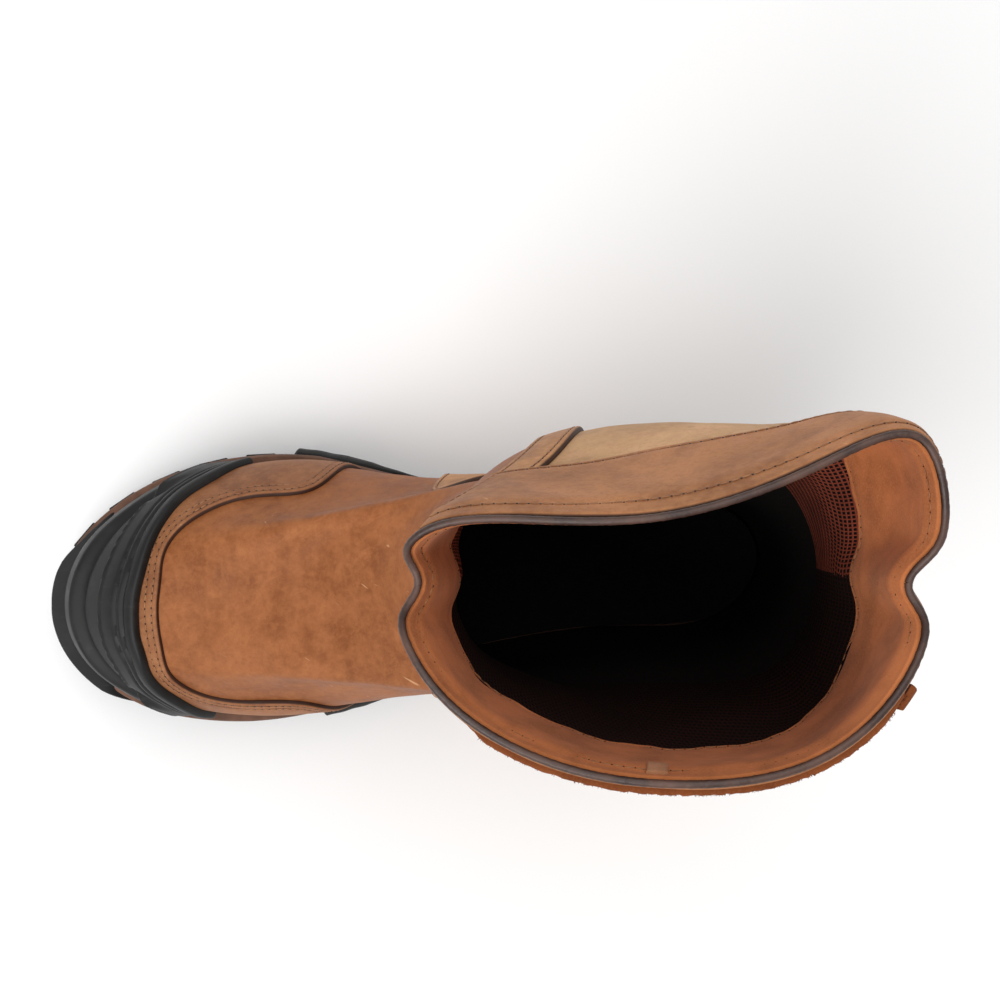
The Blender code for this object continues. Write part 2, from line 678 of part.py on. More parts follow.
def lug_centres():
    """Stations of the edge lugs, spaced evenly along the outline."""
    u = np.linspace(0, STATIONS, 721)
    points = sole_edge(u, np.zeros_like(u))
    length = np.concatenate(([0], np.cumsum(np.linalg.norm(np.diff(points, axis=0), axis=1))))
    pitch = length[-1] / EDGE_LUGS
    half = pitch * EDGE_LUG_FILL / 2
    for i in range(EDGE_LUGS):
        centre = (i + 0.5) * pitch
        yield np.interp(centre - half, length, u), np.interp(centre + half, length, u)


def make_outsole(rubber):
    def edge(u):
        return sole_edge(u, np.zeros_like(u))

    def under_edge(u):
        return sole_edge(u, np.full_like(u, OUTSOLE_TAPER))

    outsole = slab("outsole", rubber, edge, under_edge,
                   lambda x, side: outsole_top(x), lambda x, side: base_height(x))

    def root(x):
        return base_height(x) + LUG_ROOT

    lugs = bmesh.new()
    for low_u, high_u in lug_centres():
        edge_block(lugs, low_u, high_u, EDGE_LUG_DEPTH, -EDGE_LUG_PROUD, tread_height, root)
    scale = BOOT_LENGTH / DRAWN_LENGTH
    count = int(BOOT_LENGTH / CENTRE_LUG_PITCH)
    for i in range(CENTRE_LUG_SKIP, count + 1 - CENTRE_LUG_SKIP):
        x = -BOOT_LENGTH / 2 + (i + 0.5) * CENTRE_LUG_PITCH
        station = (x / BOOT_LENGTH + 0.5) * STATIONS / 2
        if abs(x - ARCH_MIDDLE * scale) < ARCH_LENGTH / 2 * scale:
            continue
        lateral = sole_edge(np.array(station), np.array(CENTRE_LUG_MARGIN))
        medial = sole_edge(np.array(STATIONS - station), np.array(CENTRE_LUG_MARGIN))
        low = min(lateral[0], medial[0])
        made = bmesh.ops.create_cube(lugs, size=1.0)
        for vert in made["verts"]:
            across = lateral[1] if vert.co.y > 0 else medial[1]
            along = low + (vert.co.x + 0.5) * CENTRE_LUG_LENGTH
            height = (tread_height if vert.co.z < 0 else root)(np.array(along))
            vert.co = (along, across, height)
    combine(outsole, cutter("lugs", lugs), "UNION")

    for side, (start, end) in (("lateral", FLEX_WING), ("medial", FLEX_WING[::-1])):
        u = np.linspace(start, end, 7)
        if side == "medial":
            u = STATIONS - u
        faces = []
        for inset in (MIDSOLE_INSET - LAYER_GAP, -FLEX_WING_OUT):
            points = np.repeat(sole_edge(u, np.full_like(u, inset))[:, None], 2, axis=1)
            points[:, 0, 2] = base_height(points[:, 0, 0]) + LUG_ROOT
            points[:, 1, 2] = feather_height(points[:, 1, 0]) - FLEX_WING_TOP
            faces.append(points)
        combine(outsole, cutter(f"flex_wing_{side}", two_sided(len(u), 2, *faces)), "UNION")


def centre_all():
    """Move every mesh so that the whole boot is centred over the origin."""
    meshes = [obj.data for obj in bpy.data.objects if obj.type == "MESH"]
    seen = [obj for obj in bpy.data.objects if not obj.hide_render]
    corners = np.concatenate([np.array([v.co for v in obj.data.vertices]) for obj in seen])
    low, high = corners.min(axis=0), corners.max(axis=0)
    shift = ((low + high) / 2)[:2]
    for mesh in meshes:
        for vert in mesh.vertices:
            vert.co.x -= shift[0]
            vert.co.y -= shift[1]


def main():
    for obj in list(bpy.data.objects):
        bpy.data.objects.remove(obj)
    material("cutter", (0.8, 0.1, 0.1), 0.8)
    vamp_leather = material("oiled_brown_leather", (0.36, 0.13, 0.06), 0.55)
    trim_leather = material("tan_trim_leather", (0.42, 0.18, 0.08), 0.6)
    panel_leather = material("golden_side_leather", (0.55, 0.32, 0.15), 0.65)
    piping_leather = material("dark_piping_leather", (0.10, 0.06, 0.05), 0.4)
    facing_leather = material("nubuck_facing", (0.33, 0.12, 0.05), 0.85)
    rubber = material("black_rubber", (0.03, 0.03, 0.03), 0.6)
    pu_foam = material("brown_pu_midsole", (0.10, 0.06, 0.04), 0.7)
    steel = material("toe_cap_steel", (0.50, 0.51, 0.53), 0.35, 1.0)
    board = material("insole_board", (0.60, 0.50, 0.36), 0.9)
    foam = material("footbed_foam", (0.05, 0.05, 0.06), 0.95)
    cloth = material("mesh_lining", (0.08, 0.02, 0.02), 0.9)
    felt = material("felt_lining", (0.20, 0.17, 0.14), 0.95)

    make_outsole(rubber)
    make_midsole(pu_foam, steel)
    make_inner_bottom(steel, board, foam)
    make_toe_cap(steel, rubber)
    make_vamp(vamp_leather)
    make_side_panels(panel_leather)
    make_side_strips(trim_leather)
    make_mudguard(trim_leather)
    make_bumper(rubber)
    make_heel(trim_leather, board)
    make_collar_bands(trim_leather)
    make_facings(facing_leather)
    make_linings(cloth, felt)
    half = STATIONS / 2
    make_piping("rim_piping_lateral", piping_leather, PIPING_ENDS, half - PIPING_ENDS)
    make_piping("rim_piping_medial", piping_leather, half + PIPING_ENDS, STATIONS - PIPING_ENDS)
    centre_all()


main()
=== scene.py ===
"""The finished look of a right-foot steel toe safety boot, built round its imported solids.

Metres, +Z up, toe to -X, outer (lateral) side to +Y. The upper is one lofted surface, as in the
solids: `u` counts twelve stations round the foot (0 toe or front, 3 lateral, 6 back, 9 medial),
and `v` counts the rings from the feather line (0) to the rim (8).
"""

import bmesh
import bpy
import numpy as np
from mathutils import Matrix, Vector


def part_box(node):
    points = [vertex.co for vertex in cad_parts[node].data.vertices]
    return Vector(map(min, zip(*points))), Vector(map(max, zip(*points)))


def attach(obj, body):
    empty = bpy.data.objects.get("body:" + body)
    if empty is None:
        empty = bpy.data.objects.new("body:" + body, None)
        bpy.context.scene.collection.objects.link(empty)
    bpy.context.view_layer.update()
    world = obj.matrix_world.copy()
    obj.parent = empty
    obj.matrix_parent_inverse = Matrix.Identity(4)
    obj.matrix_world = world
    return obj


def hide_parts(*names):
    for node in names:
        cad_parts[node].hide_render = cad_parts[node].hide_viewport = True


bl_info = {
    "name": "Steel toe work boot",
    "version": (1, 0, 0),
    "blender": (4, 5, 0),
    "location": "View3D > Sidebar > Boot",
    "description": "Builds a pull-on safety boot with its leathers, rubber, linings and stitching",
    "category": "Add Mesh",
}

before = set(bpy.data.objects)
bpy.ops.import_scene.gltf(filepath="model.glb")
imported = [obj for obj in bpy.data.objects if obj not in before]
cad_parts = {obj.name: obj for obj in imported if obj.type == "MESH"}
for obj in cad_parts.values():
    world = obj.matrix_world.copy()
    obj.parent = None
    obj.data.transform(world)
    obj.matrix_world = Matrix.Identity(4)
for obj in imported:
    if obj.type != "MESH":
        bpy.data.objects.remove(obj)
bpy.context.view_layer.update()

MM = 0.001

# Each ring of the upper in millimetres: the X of its front and back, the Y of its axis there, its
# height at the front, middle and back, then its half-widths at five stations, lateral and medial.
RINGS = (
    # feather line
    (-139.5, 150, -12, 8, 34.5, 27, 33, (37.5, 51.5, 37.2, 35.2, 29.6), (37.1, 49.5, 39.4, 31.8, 30.4)),
    # wall of the foot
    (-132.5, 153, -12, 8, 50, 47, 56, (37.5, 51.0, 40.5, 38.0, 31.0), (36.5, 49.5, 42.5, 34.5, 32.0)),
    # shoulder of the toe box
    (-121.5, 152, -12, 8, 63, 70, 84, (34.0, 42.0, 40.5, 39.0, 31.0), (32.0, 41.0, 43.5, 36.0, 32.0)),
    # top of the toe box, back of the heel
    (-104.5, 149, -11, 8, 73, 96, 114, (26.0, 33.0, 37.0, 39.0, 31.0), (26.0, 34.0, 40.0, 37.0, 32.0)),
    # vamp
    (-58.0, 147, -5, 8, 86, 128, 146, (22.0, 34.0, 39.0, 41.0, 32.0), (23.0, 37.0, 39.0, 39.0, 33.0)),
    # instep
    (-2.0, 145, 3, 8, 122, 160, 178, (23.0, 37.0, 43.0, 44.0, 35.0), (23.0, 37.0, 42.0, 42.0, 35.0)),
    # lower shaft
    (17.0, 147, 6, 8, 185, 200, 212, (30.0, 44.5, 48.0, 46.5, 38.0), (27.0, 42.0, 48.0, 47.0, 39.0)),
    # foot of the collar band
    (15.0, 152, 8, 8.5, 228, 236, 241, (25.5, 31.7, 37.0, 42.9, 41.0), (30.5, 47.4, 52.6, 50.9, 37.4)),
    # rim
    (6.5, 153.5, 8, 8.5, 266, 276, 270, (17.4, 18.7, 20.6, 32.4, 38.8), (29.1, 47.2, 52.0, 49.1, 34.5)),
)
WIDTH_STATIONS = (0.09, 0.30, 0.52, 0.74, 0.92)
STATIONS = 12
HALF = STATIONS / 2
RIM = len(RINGS) - 1.0

# Outline of the outsole, in the same form.
SOLE_RING = (-156, 156, -13, 8, 0, 0, 0, (42.6, 57.7, 42.0, 40.5, 33.7), (42.0, 56.5, 44.0, 36.5, 33.3))

# The crease at the front and back of the shaft, the dip it leaves in the rim, the skewed back.
CREASE_START = 4.5
CREASE_LINE = 8.5 * MM
CREASE_DEPTH = 6.5 * MM
CREASE_WIDTH = 7.0 * MM
DIP_DEPTH = 9.0 * MM
DIP_WIDTH = 13.0 * MM
BACK_SKEW = 0.17
LEVEL_ABOVE = 0.7

# Clearances between layers.
LAYER_GAP = 0.4 * MM
CURVED_EDGE_GAP = 1.0 * MM
SEAM_GAP = 0.5 * MM

# Bottom of the boot.
LUG_DEPTH = 5.0 * MM
LUG_ROOT = 1.0 * MM
OUTSOLE_BASE = 9.0 * MM
TOE_SPRING = 13.0 * MM
TOE_SPRING_START = -0.075
HEEL_BEVEL = 2.5 * MM
HEEL_BEVEL_START = 0.138
SOLE_HALF = 0.156
ARCH_RISE = 5.0 * MM
ARCH_MIDDLE = 0.030
ARCH_LENGTH = 0.062
SHANK_MIDDLE = 0.040
BOTTOM_TOE_REACH = 2.2
EDGE_LUGS = 34
EDGE_LUG_FILL = 0.62
EDGE_LUG_DEPTH = 15.0 * MM
CENTRE_LUG_PITCH = 0.0175
CENTRE_LUG_LENGTH = 0.010
CENTRE_LUG_MARGIN = 19.0 * MM

# Seams, in stations (u) and rings (v).
SEAM_FOOT = 3.0
SEAM_RIM = 0.75
SEAM_SWEEP = 2.1
STRIP_WIDTH = 0.42
# Toe seams: the first and last station, and the height in rings at even steps between them.
MUDGUARD = (-2.45, 2.45, (0.3, 1.6, 1.70, 1.95, 2.72, 3.09, 3.18, 3.10, 2.78, 2.38, 2.17, 2.05, 0.3))
BUMPER = (-1.5, 1.74, (0.5, 1.4, 1.95, 2.57, 2.83, 2.94, 2.96, 2.91, 2.72, 2.31, 1.73, 1.26, 0.5))
COUNTER_TOP = 2.7
COUNTER_REACH = 1.8
BACK_STAY_HALF = 0.30
BAND_FOOT = 7.0
LINING_SPLIT = 4.5
# The row of stitches under the piping, and the height at which the upright rows stop.
TOP_ROW = 7.86
STITCH_TOP = 7.72

# The holes of the mesh lining are this much longer up the leg than round it.
MESH_STRETCH = 2.6

# Distances from a panel's border at which its grid has lines, so that the edge can be rounded.
EDGE_LINES = np.array((0, 0.12, 0.35, 0.7, 1.1, 1.6, 2.2, 3.0)) * MM
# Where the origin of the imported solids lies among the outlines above, in plan: main() fills it in.
PLAN_SHIFT = np.zeros(3)


def smooth_step(x):
    x = np.clip(x, 0.0, 1.0)
    return x * x * (3.0 - 2.0 * x)


def bump_at(x, middle, width):
    return np.exp(-(((x - middle) / width) ** 2))


def ring_points(ring):
    """The twelve points of one ring."""
    x0, x1, y0, y1, z0, z1, z2, lateral, medial = ring
    along = np.array((0.0,) + WIDTH_STATIONS + (1.0,) + WIDTH_STATIONS[::-1])
    side = np.array((0.0,) + lateral + (0.0,) + tuple(-w for w in medial[::-1]))
    height = 2 * (along - 0.5) * (along - 1) * z0 - 4 * along * (along - 1) * z1
    height += 2 * along * (along - 0.5) * z2
    return np.stack((x0 + (x1 - x0) * along, y0 + (y1 - y0) * along + side, height), axis=-1) * MM


def spline_controls(points, closed):
    """Control points of the cubic B-spline that passes through the points."""
    count = len(points)
    matrix = np.zeros((count, count))
    for i in range(count):
        matrix[i, i] = 4 / 6
        matrix[i, (i + 1) % count] = 1 / 6
        matrix[i, i - 1] = 1 / 6
    if closed:
        return np.linalg.solve(matrix, points.reshape(count, -1)).reshape(points.shape)
    matrix[0] = 0
    matrix[-1] = 0
    matrix[0, 0] = 1
    matrix[-1, -1] = 1
    inner = np.linalg.solve(matrix, points.reshape(count, -1)).reshape(points.shape)
    return np.concatenate((2 * inner[:1] - inner[1:2], inner, 2 * inner[-1:] - inner[-2:-1]))


def spline_weights(t):
    whole = np.floor(t).astype(int)
    f = t - whole
    weights = ((1 - f) ** 3, 4 - 6 * f**2 + 3 * f**3, 1 + 3 * f + 3 * f**2 - 3 * f**3, f**3)
    return whole, [w / 6 for w in weights]


RING_NET = spline_controls(np.stack([ring_points(r) for r in RINGS]), closed=False)
RING_NET = np.swapaxes(spline_controls(np.swapaxes(RING_NET, 0, 1), closed=True), 0, 1)
SOLE_NET = spline_controls(ring_points(SOLE_RING), closed=True)


def creased(points, v):
    """Pull in the front and back of the shaft, dip the rim there and set the back askew."""
    x0, x1 = (value * MM for value in RINGS[-1][:2])
    along = smooth_step((points[..., 0] - x0) / (x1 - x0))
    off = points[..., 1] - CREASE_LINE
    ramp = smooth_step((v - CREASE_START) / (RIM - CREASE_START))
    ends = np.abs(2 * along - 1) ** 2
    result = points.copy()
    result[..., 0] += CREASE_DEPTH * ramp * (1 - 2 * along) * ends * bump_at(off, 0, CREASE_WIDTH)
    result[..., 0] += BACK_SKEW * ramp * along**4 * off
    result[..., 2] -= DIP_DEPTH * ramp**3 * ends * bump_at(off, 0, DIP_WIDTH)
    return result


def surface(u, v):
    """Points of the upper's main surface, which is the outer face of the main leather."""
    row, v_weights = spline_weights(np.clip(v, 0, RIM - 1e-9))
    column, u_weights = spline_weights(u)
    total = 0
    for i in range(4):
        for j in range(4):
            net = RING_NET[row + i, (column + j - 1) % STATIONS]
            total = total + net * (v_weights[i] * u_weights[j])[..., None]
    return creased(total, v)


def unit(vectors):
    return vectors / np.maximum(np.linalg.norm(vectors, axis=-1, keepdims=True), 1e-12)


def tangents(u, v):
    step = 1e-3
    v = np.clip(v, step, RIM - step)
    across = (surface(u + step, v) - surface(u - step, v)) / (2 * step)
    upward = (surface(u, v + step) - surface(u, v - step)) / (2 * step)
    return across, upward


def outward(u, v):
    """The direction away from the foot; level down at the sole, where the layers end side by side."""
    across, upward = tangents(u, v)
    normal = unit(np.cross(upward, across))
    normal[..., 2] *= smooth_step(np.asarray(v) / LEVEL_ABOVE)
    return unit(normal)


def offset_surface(u, v, offset):
    u, v, offset = np.broadcast_arrays(np.asarray(u, float), np.asarray(v, float), offset)
    return surface(u, v) + outward(u, v) * offset[..., None]


def plan_inward(at, u, inset):
    """Points of a closed outline moved inwards in plan."""
    step = 1e-3
    along = at(u + step) - at(u - step)
    inward = unit(np.stack((along[..., 1], -along[..., 0], 0 * along[..., 0]), axis=-1))
    return at(u) + inward * np.broadcast_to(inset, np.shape(u))[..., None]


def sole_edge(u, inset):
    def at(place):
        column, weights = spline_weights(place)
        return sum(SOLE_NET[(column + j - 1) % STATIONS] * weights[j][..., None] for j in range(4))

    return plan_inward(at, np.asarray(u, float), inset)


def feather_edge(u, inset):
    return plan_inward(lambda place: surface(place, np.zeros_like(place)), u, inset)


def tread_height(x):
    """Height of the bottom of the tread: toe spring in front and a small bevel at the heel."""
    toe = np.clip((TOE_SPRING_START - x) / (SOLE_HALF + TOE_SPRING_START), 0, None)
    heel = np.clip((x - HEEL_BEVEL_START) / (SOLE_HALF - HEEL_BEVEL_START), 0, None)
    return TOE_SPRING * toe**2 + HEEL_BEVEL * heel**2


def base_height(x):
    arch = np.exp(-(((x - ARCH_MIDDLE) / (ARCH_LENGTH / 2)) ** 4))
    return tread_height(x) + LUG_DEPTH + ARCH_RISE * arch


def outsole_top(x):
    return tread_height(x) + LUG_DEPTH + OUTSOLE_BASE


def feather_height(x):
    x0, x1, _, _, z0, z1, z2 = RINGS[0][:7]
    t = (x / MM - x0) / (x1 - x0)
    return (2 * (t - 0.5) * (t - 1) * z0 - 4 * t * (t - 1) * z1 + 2 * t * (t - 0.5) * z2) * MM


def side_seam(v):
    """Station of the seam between the vamp and a side panel."""
    return SEAM_FOOT - (SEAM_FOOT - SEAM_RIM) * (np.clip(v, 0, RIM) / RIM) ** SEAM_SWEEP


def seam_margin(v):
    spacing = np.linalg.norm(tangents(side_seam(v), v)[0], axis=-1)
    return SEAM_GAP / 2 / spacing


def toe_seam(start, end, heights):
    """A smooth seam over the toe through heights at even steps from the medial end to the lateral."""
    controls = spline_controls(np.array(heights), closed=False)
    steps = len(heights) - 1

    def height(u):
        share = np.clip((np.asarray(u) - start) / (end - start), 0, 1 - 1e-9)
        place, weights = spline_weights(share * steps)
        return sum(controls[place + k] * weights[k] for k in range(4))

    return height


def heel_line(u):
    return COUNTER_TOP * (1 - np.minimum(np.abs(u - HALF) / COUNTER_REACH, 1.0) ** 2.5)


def constant(value):
    return lambda place: np.full_like(np.asarray(place, float), value)


# ---------------------------------------------------------------------------------------- meshes


def finished(name, bm, look, slot, nodes=(), smooth=50):
    """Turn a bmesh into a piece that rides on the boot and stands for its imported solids."""
    mesh = bpy.data.meshes.new(name)
    bm.to_mesh(mesh)
    bm.free()
    mesh.shade_smooth()
    mesh.set_sharp_from_angle(angle=np.radians(smooth))
    mesh.materials.append(look)
    obj = bpy.data.objects.new(name, mesh)
    bpy.context.scene.collection.objects.link(obj)
    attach(obj, "root")
    if nodes:
        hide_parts(*nodes)
    return obj


def cleaned(bm, distance=2e-6):
    bmesh.ops.remove_doubles(bm, verts=bm.verts, dist=distance)
    bmesh.ops.dissolve_degenerate(bm, edges=bm.edges, dist=distance)
    bmesh.ops.recalc_face_normals(bm, faces=bm.faces)
    return bm


def folded_grid(columns, rows, front, back=None, cloth=None, edge=None):
    """A grid laid on arrays of points by column and row; with a back it is a closed shell."""
    bm = bmesh.new()
    bmesh.ops.create_grid(bm, x_segments=columns - 1, y_segments=rows - 1, size=0.5, calc_uvs=True)
    uv_layer = bm.loops.layers.uv.verify()
    edge_layer = bm.verts.layers.float.new("edge_mm")
    made = {}
    if back is not None:
        made = bmesh.ops.extrude_face_region(bm, geom=bm.faces[:], use_keep_orig=True)
    second = {item for item in made.get("geom", ()) if isinstance(item, bmesh.types.BMVert)}
    for vert in bm.verts:
        i = round((vert.co.x + 0.5) * (columns - 1))
        j = round((vert.co.y + 0.5) * (rows - 1))
        if cloth is not None:
            for loop in vert.link_loops:
                loop[uv_layer].uv = cloth[i, j]
        if edge is not None:
            vert[edge_layer] = edge[i, j] / MM
        vert.co = (back if vert in second else front)[i, j] - PLAN_SHIFT
    return cleaned(bm)


def lines_between(length, pitch):
    """Shares 0 to 1 of a length: close together at both ends, then evenly spaced."""
    longest = float(np.max(length))
    count = max(int(round((longest - 2 * EDGE_LINES[-1]) / pitch)), 2)
    near = np.minimum(EDGE_LINES[:, None], EDGE_LINES[:, None] / EDGE_LINES[-1] * 0.3 * length)
    middle = near[-1] + (length - 2 * near[-1]) * (np.arange(1, count) / count)[:, None]
    places = np.concatenate((near, middle, length - near[::-1]))
    return places / np.maximum(length, 1e-9)


def path_length(points):
    return np.linalg.norm(np.diff(points, axis=0), axis=-1).sum(axis=0)


class Patch:
    """A piece of the upper between two u limits and two v limits, with a grid fitted to its edges.

    One pair of limits may be functions of the other coordinate: u limits of v when `along` is "v",
    and v limits of u when it is "u".
    """

    def __init__(self, along, low, high, start, end, pitch=2.2 * MM):
        self.along = along
        trial = np.linspace(start, end, 60)
        middle = (low(trial) + high(trial)) / 2
        spine = self.place(middle, trial)
        rows = lines_between(np.array([path_length(spine)]), pitch)[:, 0]
        reach = np.concatenate(([0], np.cumsum(np.linalg.norm(np.diff(spine, axis=0), axis=-1))))
        line = np.interp(rows * reach[-1], reach, trial)
        first, last = low(line), np.maximum(high(line), low(line))
        shares = np.linspace(0, 1, 30)[:, None]
        across = self.place(first + (last - first) * shares, np.broadcast_to(line, (30, len(line))))
        share = lines_between(np.maximum(path_length(across), 1e-5), pitch)
        cross = first + (last - first) * share
        line = np.broadcast_to(line, cross.shape)
        self.u, self.v = (cross, line) if along == "v" else (line, cross)
        self.measure()

    def place(self, cross, line):
        return surface(cross, line) if self.along == "v" else surface(line, cross)

    def measure(self):
        """Distances in metres from each of the four borders, measured square to them."""
        points = surface(self.u, self.v)
        step_s = np.diff(points, axis=0)
        step_t = np.diff(points, axis=1)
        run_s = np.zeros(self.u.shape)
        run_t = np.zeros(self.u.shape)
        run_s[1:] = np.cumsum(np.linalg.norm(step_s, axis=-1), axis=0)
        run_t[:, 1:] = np.cumsum(np.linalg.norm(step_t, axis=-1), axis=1)
        along_s, along_t = (unit(np.gradient(points, axis=axis)) for axis in (0, 1))
        sine = np.linalg.norm(np.cross(along_s, along_t), axis=-1)
        sine = np.where(sine < 1e-3, 1.0, sine)
        self.low = run_s * sine
        self.high = (run_s[-1] - run_s) * sine
        self.start = run_t * sine
        self.end = (run_t[:, -1:] - run_t) * sine
        self.edge = np.minimum(np.minimum(self.low, self.high), np.minimum(self.start, self.end))
        self.cloth = np.stack((run_s, run_t), axis=-1)

    def rounded(self, thickness, radius=1.0 * MM):
        """Thickness that falls to nothing at the border in a quarter round."""
        share = np.clip(self.edge / radius, 0, 1)
        return thickness * np.sqrt(1 - (1 - share) ** 2)

    def shell(self, name, inner, height, look, slot, nodes=(), smooth=50):
        """A closed shell: its inner face at one offset, its outer face at inner + height."""
        front = offset_surface(self.u, self.v, inner + height)
        back = offset_surface(self.u, self.v, inner)
        bm = folded_grid(*self.u.shape, front, back, self.cloth, self.edge)
        return finished(name, bm, look, slot, nodes, smooth)


def groove(distance, middle, width=0.45 * MM, depth=0.28 * MM):
    return -depth * bump_at(distance, middle, width)


# How far a skived layer leans in on the piping at the rim.
SKIVED = 1.6 * MM


def pinched(v):
    """One at the rim, where the skived layers close in on the piping, and nothing a quarter ring below."""
    return smooth_step((v - 7.75) / 0.25)


def leather_relief(u, v, size=0.12 * MM):
    """Slow waves of a last-shaped hide, from a few crossing sine waves."""
    place = surface(u, v) / MM
    x, y, z = place[..., 0], place[..., 1], place[..., 2]
    waves = np.sin(x / 9.1 + 1.7 * np.sin(y / 13.0)) * np.sin(y / 8.3 + z / 17.0 + 0.6)
    waves = waves + 0.6 * np.sin(x / 5.2 - y / 6.1 + z / 7.7) * np.sin(z / 11.0 + x / 14.0)
    return size * waves


# -------------------------------------------------------------------------------------- stitches


def inset_line(u, v, inset):
    """A line on the upper moved sideways by a distance, to the left as seen from outside."""
    across, upward = tangents(u, v)
    run = across * np.gradient(u)[..., None] + upward * np.gradient(v)[..., None]
    side = unit(np.cross(unit(np.cross(upward, across)), unit(run))) * inset
    a = (across * across).sum(-1)
    b = (across * upward).sum(-1)
    c = (upward * upward).sum(-1)
    p = (side * across).sum(-1)
    q = (side * upward).sum(-1)
    det = a * c - b * b
    return u + (c * p - b * q) / det, v + (a * q - b * p) / det


class Rows:
    """Stitch rows gathered into one piece of thread."""

    def __init__(self, sizes):
        self.sizes = sizes
        self.bm = bmesh.new()
        self.holes = bmesh.new()
        self.chance = np.random.default_rng(7)

    def sew(self, u, v, offset, inset=0.0, pitch=None, thick=1.0):
        """Short threads end to end along a line, each lying on the leather."""
        if inset:
            u, v = inset_line(u, v, inset)
        inside = (v > 0.03) & (v < RIM - 0.01)
        u, v = u[inside], v[inside]
        points = offset_surface(u, v, offset)
        run = np.concatenate(([0], np.cumsum(np.linalg.norm(np.diff(points, axis=0), axis=-1))))
        pitch = pitch or self.sizes.stitch_pitch
        count = int(run[-1] / pitch)
        if count < 1:
            return
        places = (np.arange(count) + 0.5) * run[-1] / count
        ahead = np.array([np.interp(places + 0.3 * pitch, run, points[:, k]) for k in range(3)]).T
        behind = np.array([np.interp(places - 0.3 * pitch, run, points[:, k]) for k in range(3)]).T
        middle = (ahead + behind) / 2 - PLAN_SHIFT
        up = outward(np.interp(places, run, u), np.interp(places, run, v))
        along = unit(ahead - behind)
        side = unit(np.cross(up, along))
        lift = unit(np.cross(along, side))
        radius = self.sizes.thread_radius * thick
        for k in range(count):
            tilt = self.chance.normal(0, 0.06)
            forward = unit(along[k] + side[k] * tilt)
            turn = Matrix([Vector(side[k]), Vector(lift[k]), Vector(forward)]).transposed().to_4x4()
            scale = Matrix.Diagonal((radius, radius * 0.8, self.sizes.stitch_length / 2, 1))
            place = Matrix.Translation(Vector(middle[k])) @ turn @ scale
            bmesh.ops.create_uvsphere(self.bm, u_segments=6, v_segments=5, radius=1, matrix=place)
            # At each end of a stitch a flat dark ellipsoid, sunk just under the leather: painted shade in the
            # needle hole.
            hole = Vector(middle[k] + along[k] * pitch / 2 - up[k] * 0.1 * MM)
            place = Matrix.Translation(hole) @ turn @ Matrix.Diagonal((radius * 1.2, 0.16 * MM, radius, 1))
            bmesh.ops.create_uvsphere(self.holes, u_segments=6, v_segments=4, radius=1, matrix=place)

    def done(self, name, look):
        for bm, part, shade in ((self.bm, name, look), (self.holes, name + "_needle_hole_shade", LOOKS["hole"])):
            bmesh.ops.recalc_face_normals(bm, faces=bm.faces)
            finished(part, bm, shade, "sewing_thread", smooth=180)


# ------------------------------------------------------------------------------------- materials


def linear(text):
    """An sRGB hex colour as linear red, green, blue and alpha."""
    parts = [int(text[i : i + 2], 16) / 255 for i in (1, 3, 5)]
    return tuple(c / 12.92 if c <= 0.04045 else ((c + 0.055) / 1.055) ** 2.4 for c in parts) + (1.0,)


def shaded(colour, share):
    """A colour darkened to a share of its light."""
    return tuple(share * c for c in colour[:3]) + (1.0,)


# A Mix node that blends colours: input 0 is the share, 6 and 7 the colours, and output 2 the result.
COLOUR_MIX = {"output": 2, "data_type": "RGBA"}


def add(tree, kind, inputs=None, output=0, **settings):
    """One shader node with its settings and links, giving one output; an input is a value or a socket."""
    node = tree.nodes.new("ShaderNode" + kind)
    for name, value in settings.items():
        setattr(node, name, value)
    for name, value in (inputs or {}).items():
        if isinstance(value, bpy.types.NodeSocket):
            tree.links.new(value, node.inputs[name])
        else:
            node.inputs[name].default_value = value
    return node.outputs[output] if node.outputs else node


def begun(name):
    made = bpy.data.materials.new(name)
    made.use_nodes = True
    tree = made.node_tree
    tree.nodes.clear()
    return made, tree, add(tree, "TexCoord", output="Object")


def closed(tree, colour, roughness, normal, **values):
    """The surface shader and the output; uniform values go straight on the shader."""
    inputs = {"Base Color": colour, "Roughness": roughness, "Normal": normal}
    inputs.update({name.replace("_", " "): value for name, value in values.items()})
    add(tree, "OutputMaterial", {"Surface": add(tree, "BsdfPrincipled", inputs)})


